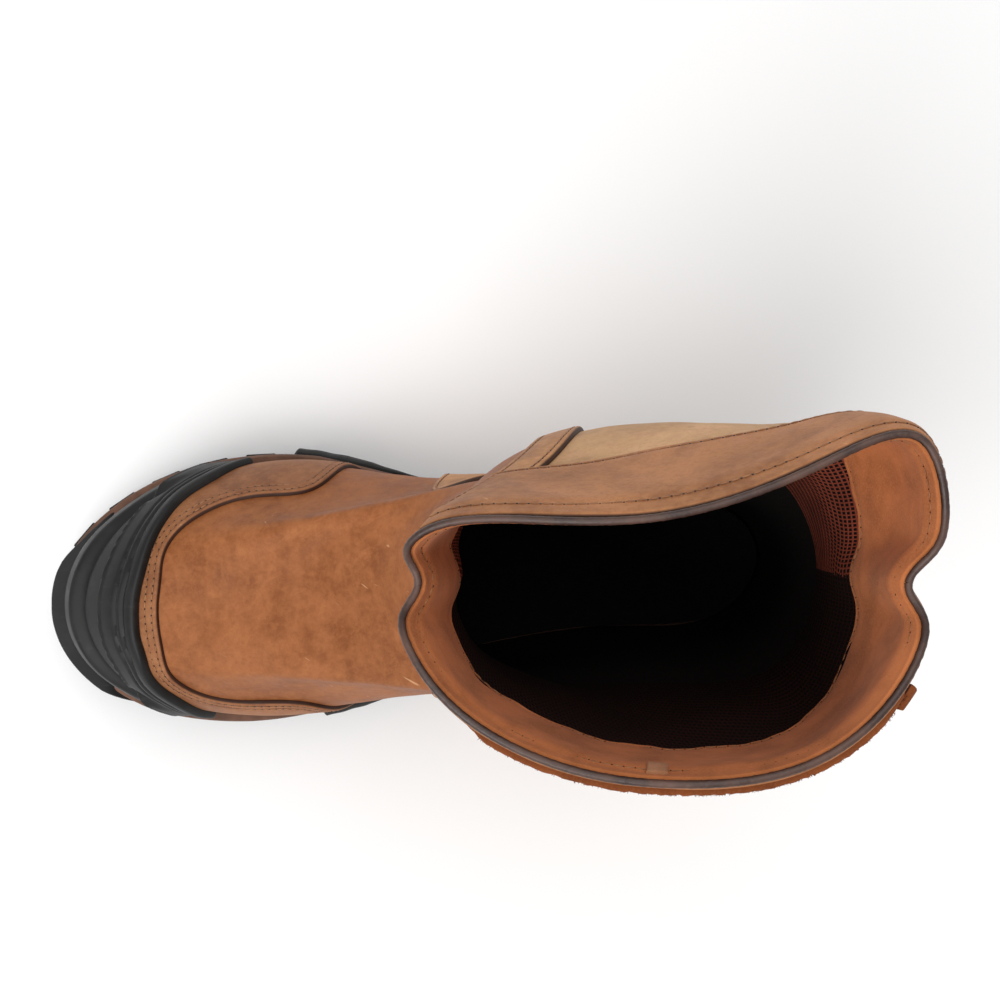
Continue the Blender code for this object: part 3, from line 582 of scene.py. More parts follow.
def oiled_leather(name, base, dark, light, sizes, rub=0.5, shine=0.5):
    """Full-grain pull-up leather, drummed with oil and wax.

    Gives the eye large soft patches where the oil has moved, fine pebbled grain with pores, pale
    rubbed marks, and a dark band at the cut edge, partly the edge's own dark finish and partly
    painted shade of the gap beside it.
    """
    made, tree, place = begun(name)
    patches = add(tree, "TexNoise", {"Vector": place, "Scale": 1 / (38 * MM), "Detail": 4,
                  "Roughness": 0.6, "Distortion": 0.6})
    cloudy = add(tree, "TexNoise", {"Vector": place, "Scale": 1 / (9 * MM), "Detail": 5, "Roughness": 0.65})
    pores = add(tree, "TexNoise", {"Vector": place, "Scale": 1 / (1.1 * MM), "Detail": 2,
                "Roughness": 0.55})
    share = add(tree, "MapRange", {"Value": patches, "From Min": 0.42, "From Max": 0.62})
    colour = add(tree, "Mix", {0: share, 6: dark, 7: base}, **COLOUR_MIX)
    share = add(tree, "MapRange", {"Value": cloudy, "From Min": 0.4, "From Max": 0.72, "To Max": 0.65})
    colour = add(tree, "Mix", {0: share, 6: colour, 7: light}, **COLOUR_MIX)
    share = add(tree, "MapRange", {"Value": pores, "From Min": 0.3, "From Max": 0.52, "To Min": 0.3,
                "To Max": 0.0})
    colour = add(tree, "Mix", {0: share, 6: colour, 7: dark}, **COLOUR_MIX)
    mottle = add(tree, "TexNoise", {"Vector": place, "Scale": 1 / (3 * MM), "Detail": 6, "Roughness": 0.75})
    share = add(tree, "MapRange", {"Value": mottle, "From Min": 0.46, "From Max": 0.74, "To Max": 0.5})
    colour = add(tree, "Mix", {0: share, 6: colour, 7: light}, **COLOUR_MIX)
    share = add(tree, "MapRange", {"Value": mottle, "From Min": 0.30, "From Max": 0.48, "To Min": 0.35,
                "To Max": 0.0})
    colour = add(tree, "Mix", {0: share, 6: colour, 7: dark}, **COLOUR_MIX)
    # Rubbed marks: long thin streaks, drawn coarser than real ones so that they show.
    placed = {"Vector": place, "Rotation": (0, 0, 0.5), "Scale": (1, 0.2, 0.5)}
    stretched = add(tree, "Mapping", placed, vector_type="TEXTURE")
    streaks = add(tree, "TexNoise", {"Vector": stretched, "Scale": 1 / (26 * MM), "Detail": 6,
                  "Roughness": 0.7})
    wear = add(tree, "MapRange", {"Value": streaks, "From Min": 0.60, "From Max": 0.72, "To Max": rub})
    colour = add(tree, "Mix", {0: wear, 6: colour, 7: light}, **COLOUR_MIX)
    # A few pale scratches, where a line of the noise is crossed in the rarest patches.
    placed = {"Vector": place, "Rotation": (0, 0, -0.46), "Scale": (3, 0.25, 1)}
    stretched = add(tree, "Mapping", placed, vector_type="TEXTURE")
    scratch = add(tree, "TexNoise", {"Vector": stretched, "Scale": 1 / (7 * MM), "Detail": 2,
                  "Roughness": 0.5})
    share = add(tree, "MapRange", {"Value": scratch, "From Min": 0.74, "From Max": 0.79, "To Max": 0.55})
    colour = add(tree, "Mix", {0: share, 6: colour, 7: linear("#d9a97f")}, **COLOUR_MIX)
    # A dark band within 0.6 mm of the cut edge: partly the edge's own dark finish, partly painted shade of
    # the gap between the panels.
    edge = add(tree, "Attribute", output="Fac", attribute_name="edge_mm")
    rim = add(tree, "MapRange", {"Value": edge, "From Min": 0.25, "From Max": 0.6, "To Min": 0.95,
              "To Max": 0.0})
    colour = add(tree, "Mix", {0: rim, 6: colour, 7: linear("#2a130b")}, **COLOUR_MIX)
    grain = add(tree, "TexVoronoi", {"Vector": place, "Scale": 1 / sizes.grain_pitch}, feature="SMOOTH_F1")
    fine = add(tree, "TexNoise", {"Vector": place, "Scale": 1 / (0.45 * MM), "Detail": 2,
               "Roughness": 0.55})
    creases = add(tree, "TexNoise", {"Vector": place, "Scale": 1 / (5.5 * MM), "Detail": 3,
                  "Roughness": 0.5, "Distortion": 1.2})
    normal = add(tree, "Bump", {"Height": creases, "Distance": 0.35 * MM, "Strength": 0.5})
    normal = add(tree, "Bump", {"Height": grain, "Distance": 0.12 * MM, "Strength": 0.55, "Normal": normal})
    normal = add(tree, "Bump", {"Height": fine, "Distance": 0.05 * MM, "Strength": 0.5, "Normal": normal})
    rough = add(tree, "MapRange", {"Value": cloudy, "From Min": 0.3, "From Max": 0.7, "To Min": shine,
                "To Max": shine + 0.18})
    closed(tree, colour, rough, normal, IOR=1.34)
    return made


def nubuck(name, base, dark, light):
    """Leather buffed on the grain side. Gives the eye a matt nap in soft clouds, with dark edges."""
    made, tree, place = begun(name)
    clouds = add(tree, "TexNoise", {"Vector": place, "Scale": 1 / (16 * MM), "Detail": 5, "Roughness": 0.6,
                 "Distortion": 0.3})
    nap = add(tree, "TexNoise", {"Vector": place, "Scale": 1 / (0.6 * MM), "Detail": 3, "Roughness": 0.55})
    share = add(tree, "MapRange", {"Value": clouds, "From Min": 0.38, "From Max": 0.64})
    colour = add(tree, "Mix", {0: share, 6: dark, 7: base}, **COLOUR_MIX)
    share = add(tree, "MapRange", {"Value": nap, "From Min": 0.45, "From Max": 0.75, "To Max": 0.5})
    colour = add(tree, "Mix", {0: share, 6: colour, 7: light}, **COLOUR_MIX)
    edge = add(tree, "Attribute", output="Fac", attribute_name="edge_mm")
    share = add(tree, "MapRange", {"Value": edge, "From Min": 0.1, "From Max": 0.9, "To Min": 0.6,
                "To Max": 0.0})
    colour = add(tree, "Mix", {0: share, 6: colour, 7: dark}, **COLOUR_MIX)
    normal = add(tree, "Bump", {"Height": nap, "Distance": 0.12 * MM, "Strength": 0.7})
    roughness = add(tree, "MapRange", {"Value": clouds, "From Min": 0.3, "From Max": 0.7, "To Min": 0.86,
                    "To Max": 0.95})
    closed(tree, colour, roughness, normal, IOR=1.3, Sheen_Weight=0.06, Sheen_Roughness=0.5)
    return made


def polished_leather(name, base, light):
    """Waxed piping leather rolled over a cord. Gives the eye fine cross creases and a gloss."""
    made, tree, place = begun(name)
    patches = add(tree, "TexNoise", {"Vector": place, "Scale": 1 / (12 * MM), "Detail": 4,
                  "Roughness": 0.55})
    fine = add(tree, "TexNoise", {"Vector": place, "Scale": 1 / (0.9 * MM), "Detail": 3, "Roughness": 0.55})
    share = add(tree, "MapRange", {"Value": patches, "From Min": 0.4, "From Max": 0.7})
    colour = add(tree, "Mix", {0: share, 6: base, 7: light}, **COLOUR_MIX)
    share = add(tree, "MapRange", {"Value": fine, "From Min": 0.5, "From Max": 0.8, "To Max": 0.4})
    colour = add(tree, "Mix", {0: share, 6: colour, 7: light}, **COLOUR_MIX)
    relief = add(tree, "TexNoise", {"Vector": place, "Scale": 1 / (2.2 * MM), "Detail": 3,
                 "Roughness": 0.55, "Distortion": 1.0})
    normal = add(tree, "Bump", {"Height": relief, "Distance": 0.25 * MM, "Strength": 0.7})
    normal = add(tree, "Bump", {"Height": fine, "Distance": 0.06 * MM, "Strength": 0.6, "Normal": normal})
    roughness = add(tree, "MapRange", {"Value": patches, "From Min": 0.3, "From Max": 0.7, "To Min": 0.42,
                    "To Max": 0.58})
    closed(tree, colour, roughness, normal, Coat_Weight=0.08, Coat_Roughness=0.3)
    return made


def moulded_rubber(name, base, light, matt=0.55):
    """Injection-moulded rubber. Gives the eye a fine spark-eroded texture, dust and scuffs."""
    made, tree, place = begun(name)
    dust = add(tree, "TexNoise", {"Vector": place, "Scale": 1 / (16 * MM), "Detail": 5, "Roughness": 0.65})
    texture = add(tree, "TexNoise", {"Vector": place, "Scale": 1 / (0.5 * MM), "Detail": 2,
                  "Roughness": 0.55})
    placed = add(tree, "Mapping", {"Vector": place, "Scale": (1, 4, 1)})
    streaks = add(tree, "TexNoise", {"Vector": placed, "Scale": 1 / (8 * MM), "Detail": 6,
                  "Roughness": 0.55})
    share = add(tree, "MapRange", {"Value": dust, "From Min": 0.5, "From Max": 0.8, "To Max": 0.6})
    colour = add(tree, "Mix", {0: share, 6: base, 7: light}, **COLOUR_MIX)
    share = add(tree, "MapRange", {"Value": streaks, "From Min": 0.62, "From Max": 0.74, "To Max": 0.5})
    colour = add(tree, "Mix", {0: share, 6: colour, 7: light}, **COLOUR_MIX)
    normal = add(tree, "Bump", {"Height": texture, "Distance": 0.06 * MM, "Strength": 0.6})
    roughness = add(tree, "MapRange", {"Value": dust, "From Min": 0.3, "From Max": 0.7,
                    "To Min": matt - 0.08, "To Max": matt + 0.1})
    closed(tree, colour, roughness, normal, IOR=1.38)
    return made


def foamed_polyurethane(name, base, light):
    """Blown polyurethane midsole. Gives the eye a matt skin with pinholes darkened by painted shade, and a
    chalky bloom.
    """
    made, tree, place = begun(name)
    bloom = add(tree, "TexNoise", {"Vector": place, "Scale": 1 / (11 * MM), "Detail": 4, "Roughness": 0.55})
    holes = add(tree, "TexVoronoi", {"Vector": place, "Scale": 1 / (1.6 * MM)})
    share = add(tree, "MapRange", {"Value": bloom, "From Min": 0.4, "From Max": 0.7})
    colour = add(tree, "Mix", {0: share, 6: base, 7: light}, **COLOUR_MIX)
    pits = add(tree, "MapRange", {"Value": holes, "From Min": 0.0, "From Max": 0.25})
    # The pinholes darken towards their middles: painted shade in the recesses.
    share = add(tree, "MapRange", {"Value": pits, "From Min": 0.0, "From Max": 1.0, "To Min": 0.35,
                "To Max": 0.0})
    colour = add(tree, "Mix", {0: share, 6: colour, 7: shaded(base, 0.4)}, **COLOUR_MIX)
    roughness = add(tree, "MapRange", {"Value": bloom, "From Min": 0.3, "From Max": 0.7, "To Min": 0.72,
                    "To Max": 0.82})
    normal = add(tree, "Bump", {"Height": pits, "Distance": 0.12 * MM, "Strength": 0.5})
    closed(tree, colour, roughness, normal)
    return made


def air_mesh(name, base, dark, pitch):
    """Knitted spacer mesh lining. Gives the eye a square net of yarn over a dark ground."""
    made, tree, place = begun(name)
    cloth = add(tree, "TexCoord", output="UV")
    # A wave texture repeats every 2 pi / 20 units at scale 1.
    weave = {"Vector": cloth, "Scale": np.pi / 10 / pitch, "Distortion": 0.3, "Detail": 1.0}
    warp = add(tree, "TexWave", weave, output="Fac", bands_direction="X")
    weave["Scale"] = weave["Scale"] / MESH_STRETCH
    weft = add(tree, "TexWave", weave, output="Fac", bands_direction="Y")
    yarn = add(tree, "Math", {0: warp, 1: weft}, operation="MAXIMUM")
    worn = add(tree, "TexNoise", {"Vector": place, "Scale": 1 / (20 * MM), "Detail": 3})
    share = add(tree, "MapRange", {"Value": worn, "From Min": 0.35, "From Max": 0.7})
    thread = add(tree, "Mix", {0: share, 6: base, 7: shaded(base, 0.6)}, **COLOUR_MIX)
    share = add(tree, "MapRange", {"Value": yarn, "From Min": 0.55, "From Max": 0.85})
    colour = add(tree, "Mix", {0: share, 6: dark, 7: thread}, **COLOUR_MIX)
    roughness = add(tree, "MapRange", {"Value": share, "To Min": 0.95, "To Max": 0.8})
    normal = add(tree, "Bump", {"Height": yarn, "Distance": 0.5 * MM, "Strength": 0.9})
    closed(tree, colour, roughness, normal, IOR=1.3)
    return made


def pressed_felt(name, base, light):
    """Needled felt or foam topcloth. Gives the eye short matted fibres and slight pilling."""
    made, tree, place = begun(name)
    fibres = add(tree, "Mapping", {"Vector": place, "Rotation": (0, 0, 0.7), "Scale": (1, 6, 1)})
    hair = add(tree, "TexNoise", {"Vector": fibres, "Scale": 1 / (3 * MM), "Detail": 6, "Roughness": 0.8})
    lumps = add(tree, "TexNoise", {"Vector": place, "Scale": 1 / (7 * MM), "Detail": 3, "Roughness": 0.55})
    share = add(tree, "MapRange", {"Value": hair, "From Min": 0.35, "From Max": 0.7})
    colour = add(tree, "Mix", {0: share, 6: base, 7: light}, **COLOUR_MIX)
    normal = add(tree, "Bump", {"Height": lumps, "Distance": 0.4 * MM, "Strength": 0.4})
    normal = add(tree, "Bump", {"Height": hair, "Distance": 0.25 * MM, "Strength": 0.7, "Normal": normal})
    roughness = add(tree, "MapRange", {"Value": lumps, "From Min": 0.3, "From Max": 0.7, "To Min": 0.9,
                    "To Max": 0.98})
    closed(tree, colour, roughness, normal, IOR=1.3)
    return made


def pressed_steel(name, base, light):
    """Pressed and galvanised steel. Gives the eye a soft grey metal with spangle and tool rubs."""
    made, tree, place = begun(name)
    spangle = add(tree, "TexVoronoi", {"Vector": place, "Scale": 1 / (6 * MM)}, output="Color")
    placed = add(tree, "Mapping", {"Vector": place, "Scale": (1, 12, 1)})
    rubs = add(tree, "TexNoise", {"Vector": placed, "Scale": 1 / (9 * MM), "Detail": 5, "Roughness": 0.55})
    share = add(tree, "MapRange", {"Value": rubs, "From Min": 0.35, "From Max": 0.7})
    colour = add(tree, "Mix", {0: share, 6: base, 7: light}, **COLOUR_MIX)
    grey = add(tree, "SeparateColor", {"Color": spangle})
    roughness = add(tree, "MapRange", {"Value": grey, "From Min": 0, "From Max": 1, "To Min": 0.3,
                    "To Max": 0.5})
    normal = add(tree, "Bump", {"Height": rubs, "Distance": 0.02 * MM, "Strength": 0.5})
    closed(tree, colour, roughness, normal, Metallic=1.0)
    return made


def waxed_thread(name, base, light):
    """Bonded and waxed polyester thread. Gives the eye a soft gloss over twisted plies."""
    made, tree, place = begun(name)
    plies = add(tree, "TexNoise", {"Vector": place, "Scale": 1 / (0.5 * MM), "Detail": 2,
                "Roughness": 0.55})
    worn = add(tree, "TexNoise", {"Vector": place, "Scale": 1 / (15 * MM), "Detail": 3, "Roughness": 0.55})
    share = add(tree, "MapRange", {"Value": worn, "From Min": 0.35, "From Max": 0.7})
    colour = add(tree, "Mix", {0: share, 6: base, 7: light}, **COLOUR_MIX)
    roughness = add(tree, "MapRange", {"Value": plies, "From Min": 0.3, "From Max": 0.7, "To Min": 0.45,
                    "To Max": 0.65})
    normal = add(tree, "Bump", {"Height": plies, "Distance": 0.1 * MM, "Strength": 0.7})
    closed(tree, colour, roughness, normal)
    return made


def matt_paper(name, base, light):
    """Seamless studio paper, calendered. Gives the eye an even pale ground with a faint tooth."""
    made, tree, place = begun(name)
    tooth = add(tree, "TexNoise", {"Vector": place, "Scale": 1 / (1.5 * MM), "Detail": 2,
                "Roughness": 0.55})
    pattern = add(tree, "TexNoise", {"Vector": place, "Scale": 1 / (300 * MM), "Detail": 2,
                  "Roughness": 0.55})
    share = add(tree, "MapRange", {"Value": pattern, "From Min": 0.3, "From Max": 0.7})
    colour = add(tree, "Mix", {0: share, 6: base, 7: light}, **COLOUR_MIX)
    roughness = add(tree, "MapRange", {"Value": tooth, "From Min": 0, "From Max": 1, "To Min": 0.85,
                    "To Max": 0.95})
    normal = add(tree, "Bump", {"Height": tooth, "Distance": 0.02 * MM, "Strength": 0.3})
    closed(tree, colour, roughness, normal)
    return made


LOOKS = {}


def make_looks(sizes, colours):
    """Every material of the boot, by a short name. The hex values are the dark and light tones."""
    LOOKS["vamp"] = oiled_leather("oiled_pull_up_leather", colours.vamp, linear("#804823"),
                                  linear("#ab6c40"), sizes)
    LOOKS["mudguard"] = oiled_leather("oiled_mudguard_leather", colours.mudguard, linear("#7d4d2e"),
                                      linear("#a9744e"), sizes, shine=0.52)
    LOOKS["side"] = oiled_leather("greased_golden_leather", colours.side, linear("#a97d52"),
                                  linear("#cfa67a"), sizes, rub=0.6, shine=0.5)
    LOOKS["strip"] = oiled_leather("rubbed_strip_leather", colours.strip, linear("#98643c"),
                                   linear("#cb986a"), sizes, rub=0.5, shine=0.5)
    LOOKS["band"] = oiled_leather("oiled_collar_leather", colours.band, linear("#8c5a38"),
                                  linear("#b98359"), sizes, shine=0.55)
    LOOKS["facing"] = nubuck("buffed_nubuck_facing", colours.facing, linear("#ab6539"), linear("#cf8a5c"))
    LOOKS["raw_edge"] = nubuck("raw_cut_nubuck_edge", linear("#8f4f27"), linear("#6a3517"), linear("#ad6a3a"))
    LOOKS["pale_patch"] = nubuck("brushed_patch_leather", linear("#b98462"), linear("#9a6746"),
                                 linear("#cf9f7b"))
    LOOKS["piping"] = polished_leather("waxed_piping_leather", colours.piping, linear("#5a3f34"))
    LOOKS["bumper"] = moulded_rubber("moulded_toe_rubber", colours.bumper, linear("#2e2d2c"), 0.52)
    LOOKS["outsole"] = moulded_rubber("vulcanised_outsole_rubber", colours.outsole, linear("#353433"), 0.6)
    LOOKS["midsole"] = foamed_polyurethane("blown_brown_polyurethane", colours.midsole, linear("#7a5644"))
    LOOKS["mesh"] = air_mesh("knitted_air_mesh", colours.mesh, linear("#070404"), sizes.mesh_pitch)
    # The medial mesh lining is the same knitted mesh in darker colours: painted shade for the side that lies
    # in shadow.
    LOOKS["shade_painted_mesh"] = air_mesh("shade_painted_air_mesh", linear("#2c130d"), linear("#050303"), sizes.mesh_pitch)
    LOOKS["felt"] = pressed_felt("needled_felt_lining", linear("#100e0c"), linear("#1d1a17"))
    LOOKS["topcloth"] = pressed_felt("brushed_footbed_topcloth", linear("#0c0c0d"), linear("#191a1c"))
    LOOKS["steel"] = pressed_steel("pressed_galvanised_steel", linear("#9a9da1"), linear("#c4c7ca"))
    LOOKS["board"] = pressed_felt("pressed_fibre_board", linear("#a89070"), linear("#c9b491"))
    LOOKS["thread"] = waxed_thread("waxed_brown_thread", linear("#7d4f30"), linear("#a5754c"))
    LOOKS["black_thread"] = waxed_thread("waxed_black_thread", linear("#121212"), linear("#232221"))
    LOOKS["hole"] = polished_leather("needle_hole_shadow", linear("#1c0e08"), linear("#2c180f"))
    LOOKS["floor"] = matt_paper("studio_paper", colours.floor, linear("#f6f6f6"))


# -------------------------------------------------------------------------------------- settings


def length_setting(name, description, default):
    return bpy.props.FloatProperty(name=name, description=description, default=default, min=0.0,
                                   unit="LENGTH", precision=5)


def colour_setting(name, description, default):
    return bpy.props.FloatVectorProperty(name=name, description=description, default=linear(default),
                                         size=4, min=0.0, max=1.0, subtype="COLOR")


class BootSizes(bpy.types.PropertyGroup):
    leather: length_setting("Leather", "Thickness of the vamp and side leather", 2.0 * MM)
    trim: length_setting("Trim leather", "Thickness of the strips, bands and mudguard", 1.8 * MM)
    facing: length_setting("Facing", "Thickness of the leather inside the rim", 1.4 * MM)
    lining: length_setting("Lining", "Thickness of the mesh and felt linings", 1.4 * MM)
    bumper: length_setting("Toe rubber", "Thickness of the toe bumper between its ridges", 2.4 * MM)
    ridge: length_setting("Toe ridge", "Height of the rounded ridge along the toe bumper", 2.8 * MM)
    piping: length_setting("Piping radius", "Radius of the rolled piping on the rim", 0.95 * MM)
    stitch_pitch: length_setting("Stitch pitch", "Distance from one stitch to the next", 3.1 * MM)
    stitch_length: length_setting("Stitch length", "Length of the thread seen in a stitch", 2.4 * MM)
    thread_radius: length_setting("Thread radius", "Radius of the sewing thread", 0.36 * MM)
    grain_pitch: length_setting("Grain", "Distance between grains of the leather", 1.3 * MM)
    mesh_pitch: length_setting("Mesh pitch", "Distance between yarns of the mesh lining", 1.35 * MM)
    footbed: length_setting("Footbed", "Thickness of the footbed", 5.0 * MM)
    lug_bevel: length_setting("Lug bevel", "Rounding of the tread blocks", 0.7 * MM)


class BootColours(bpy.types.PropertyGroup):
    vamp: colour_setting("Vamp", "Oiled leather of the vamp and shaft front", "#965a32")
    mudguard: colour_setting("Mudguard", "Leather over the toe and round the heel", "#99623d")
    side: colour_setting("Sides", "Golden leather of the side panels", "#d4a276")
    strip: colour_setting("Strips", "Rubbed leather strips over the side seams", "#c88d59")
    band: colour_setting("Collar", "Leather band round the rim", "#b87c52")
    facing: colour_setting("Facing", "Nubuck inside the rim", "#cc7b49")
    piping: colour_setting("Piping", "Dark piping on the rim", "#33201a")
    bumper: colour_setting("Toe rubber", "Rubber of the toe bumper", "#161616")
    outsole: colour_setting("Outsole", "Rubber of the outsole", "#181818")
    midsole: colour_setting("Midsole", "Foam of the midsole", "#5c3d2c")
    mesh: colour_setting("Mesh", "Yarn of the mesh lining", "#9c4d38")
    floor: colour_setting("Floor", "Paper that the boot stands on", "#f2f2f2")


class BootOperator:
    bl_options = {"REGISTER"}

    @staticmethod
    def settings(context):
        return context.scene.boot_sizes, context.scene.boot_colours


# ------------------------------------------------------------------------------------ the bottom


def spine_of(edge, u):
    """The middle line of an outline, kept clear of its two round ends."""
    middle = (edge(u) + edge(STATIONS - u)) / 2
    low, high = edge(np.array([0.0, HALF]))[:, 0]
    end = 30 * MM
    order = np.argsort(middle[:, 0])
    kept = np.clip(middle[:, 0], low + end, high - end)
    middle[:, 1] = np.interp(kept, middle[order, 0], middle[order, 1])
    middle[:, 0] = kept
    return middle


def lofted(edge_at, rows, columns=241):
    """A closed body round the sole's plan. Each row is a share of the way from the outline to its
    middle line, an inset of the outline and a height, the last two as functions."""
    u = np.linspace(0, STATIONS, columns)
    spine = spine_of(lambda place: edge_at(place, 0.0), u)
    points = np.empty((columns, len(rows), 3))
    for k, (share, inset, height) in enumerate(rows):
        edge = edge_at(u, inset(u) if callable(inset) else inset)
        points[:, k] = edge + (spine - edge) * share
        points[:, k, 2] = height(points[:, k, 0])
    return folded_grid(columns, len(rows), points)


def edge_lugs():
    """Stations of the edge lugs, spaced evenly along the outline."""
    u = np.linspace(0, STATIONS, 721)
    points = sole_edge(u, 0.0)
    run = np.concatenate(([0], np.cumsum(np.linalg.norm(np.diff(points, axis=0), axis=1))))
    pitch = run[-1] / EDGE_LUGS
    half = pitch * EDGE_LUG_FILL / 2
    for i in range(EDGE_LUGS):
        centre = (i + 0.5) * pitch
        yield np.interp(centre - half, run, u), np.interp(centre + half, run, u)


def add_block(bm, corner, bevel):
    """A bevelled block whose corners come from a function of the signs of x, y and z."""
    made = bmesh.ops.create_cube(bm, size=1.0)["verts"]
    for vert in made:
        vert.co = Vector(corner(*(value > 0 for value in vert.co))) - Vector(PLAN_SHIFT)
    edges = list({edge for vert in made for edge in vert.link_edges})
    bmesh.ops.bevel(bm, geom=edges, offset=bevel, segments=2, affect="EDGES", profile=0.5, material=-1)


def add_lugs(bm, bevel):
    def root(x):
        return base_height(x) + LUG_ROOT

    for low_u, high_u in edge_lugs():
        def corner(right, outside, top, low_u=low_u, high_u=high_u):
            middle = (low_u + high_u) / 2
            u = middle + (high_u - low_u) / 2 * (1 if right else -1) * (1.0 if top else 0.9)
            point = sole_edge(np.array([u]), -0.6 * MM if outside else EDGE_LUG_DEPTH)[0]
            point[2] = root(point[0]) if top else tread_height(point[0])
            return point

        add_block(bm, corner, bevel)
    count = int(2 * SOLE_HALF / CENTRE_LUG_PITCH)
    for i in range(3, count - 2):
        x = -SOLE_HALF + (i + 0.5) * CENTRE_LUG_PITCH
        if abs(x - ARCH_MIDDLE) < ARCH_LENGTH / 2:
            continue
        station = np.array([(x / SOLE_HALF + 1) * STATIONS / 4])
        sides = [sole_edge(u, CENTRE_LUG_MARGIN)[0] for u in (STATIONS - station, station)]
        low = min(side[0] for side in sides)

        def corner(right, lateral, top, sides=sides, low=low):
            along = low + CENTRE_LUG_LENGTH * (1.0 if right else 0.0)
            across = sides[1 if lateral else 0][1]
            return along, across, root(along) if top else tread_height(along)

        add_block(bm, corner, bevel)


def add_wing(bm, start, end):
    """The ribbed rubber wing that laps up the side of the midsole at the ball of the foot."""
    u = np.linspace(start, end, 91)
    share = np.linspace(0, 1, 91)
    fade = smooth_step(share / 0.06) * np.clip((1 - share) / 0.5, 0, 1) ** 0.8
    ribs = 0.5 + 0.5 * np.cos(2 * np.pi * share * 5)
    turn = np.linspace(0, 2 * np.pi, 19)
    points = np.empty((len(u), len(turn), 3))
    for k, angle in enumerate(turn):
        proud = (3.2 * MM + 0.25 * MM * ribs) * fade * max(np.cos(angle), 0) ** 0.5
        sunk = 2.2 * MM * max(-np.cos(angle), 0)
        ring = sole_edge(u, sunk - proud)
        low = base_height(ring[:, 0]) + LUG_ROOT
        high = feather_height(ring[:, 0]) - 4.0 * MM
        ring[:, 2] = (low + high) / 2 + (high - low) / 2 * np.sin(angle) * fade
        points[:, k] = ring
    piece = folded_grid(len(u), len(turn), points)
    bmesh.ops.holes_fill(piece, edges=piece.edges, sides=0)
    mesh = bpy.data.meshes.new("wing")
    piece.to_mesh(mesh)
    piece.free()
    bm.from_mesh(mesh)
    bpy.data.meshes.remove(mesh)


def toe_share(x):
    """One at the toe, where the outsole's rubber laps up over the midsole, and nothing behind it."""
    return smooth_step((-x - 108 * MM) / (24 * MM))


def outsole_inset(u):
    """The outsole draws in a little behind the toe, where the midsole is the widest part."""
    lateral = np.interp(u, (0, 0.3, 0.42, 0.6, 0.8, 1.5), (2.7, 2.2, 2.4, 4.0, 4.6, 3.4))
    medial = np.interp(STATIONS - u, (0, 0.3, 0.6, 0.9, 1.2, 1.5), (2.7, 2.2, 1.4, 0.5, 1.5, 2.6))
    return MM * np.where(u < HALF, lateral, medial)


def midsole_inset(u):
    """Hidden behind the outsole at the toe, and the widest part of the sole from there back."""
    places = (0, 0.35, 0.5, 0.65, 1.0, 1.9, 2.3, 3.0, 6.0)
    lateral = np.interp(u, places, (8, 6, 3.6, 3.2, 2.6, 1.2, -0.6, 1.2, 2.0))
    places = (0, 0.4, 0.7, 1.0, 1.3, 1.9, 2.3, 3.0, 6.0)
    medial = np.interp(STATIONS - u, places, (8, 7, 4.6, 3.0, 1.6, 0.6, 0.4, 2.0, 2.0))
    return MM * np.where(u < HALF, lateral, medial)


class BOOT_OT_outsole(BootOperator, bpy.types.Operator):
    """Build the rubber outsole with its tread blocks and side wings"""

    bl_idname = "boot.outsole"
    bl_label = "Outsole"

    def execute(self, context):
        sizes, _ = self.settings(context)

        def at(share, extra, height):
            return share, lambda u: outsole_inset(u) + extra * MM, height

        def top(x):
            lip = feather_height(x) - 2.6 * MM
            return outsole_top(x) + (lip - outsole_top(x)) * toe_share(x)

        wall = ((0.0, 1.0), (-0.1, 0.95), (0.1, 0.8), (0.7, 0.74), (0.7, 0.68), (0.0, 0.62), (0.1, 0.3),
                (0.6, 0.08), (0.9, 0.0))
        rows = [(1.0, 0.0, top), (0.5, 0.0, top), at(0.1, 0.0, top), at(0.0, 1.2, top), at(0.0, 0.4, top)]
        for extra, level in wall:
            def height(x, level=level):
                return base_height(x) + (top(x) - base_height(x)) * level * 0.97

            rows.append(at(0.0, extra, height))
        rows += [at(0.0, 2.2, base_height), at(0.15, 0.0, base_height), (0.55, 0.0, base_height),
                 (1.0, 0.0, base_height)]
        bm = lofted(sole_edge, rows)
        add_lugs(bm, sizes.lug_bevel)
        add_wing(bm, 2.12, 2.95)
        add_wing(bm, STATIONS - 2.3, STATIONS - 2.95)
        bmesh.ops.recalc_face_normals(bm, faces=bm.faces)
        finished("outsole_rubber", bm, LOOKS["outsole"], "black_rubber", ("outsole",), smooth=35)
        return {"FINISHED"}


class BOOT_OT_midsole(BootOperator, bpy.types.Operator):
    """Build the brown foam midsole with its moulded groove"""

    bl_idname = "boot.midsole"
    bl_label = "Midsole"

    def execute(self, context):
        def top(x):
            return feather_height(x) - 0.3 * MM - 3.6 * MM * toe_share(x)

        def base(x):
            return outsole_top(x) + 0.1 * MM

        def at(extra, level):
            return (0.0, lambda u: midsole_inset(u) + extra * MM,
                    lambda x: base(x) + (top(x) - base(x)) * level)

        rows = [(1.0, 0.0, top), (0.5, midsole_inset, top), (0.1, midsole_inset, top)]
        for extra, level in ((2.4, 1.0), (0.8, 0.99), (0.2, 0.94), (-0.1, 0.85), (-0.3, 0.7), (-0.3, 0.62),
                             (0.5, 0.57), (0.5, 0.52), (-0.3, 0.47), (-0.4, 0.35), (-0.2, 0.15), (0.3, 0.03)):
            rows.append(at(extra, level))
        rows += [at(1.4, 0.0), (0.1, midsole_inset, base), (0.5, midsole_inset, base), (1.0, 0.0, base)]
        finished("midsole_foam", lofted(sole_edge, rows), LOOKS["midsole"], "brown_polyurethane",
                 ("midsole",), smooth=40)
        return {"FINISHED"}


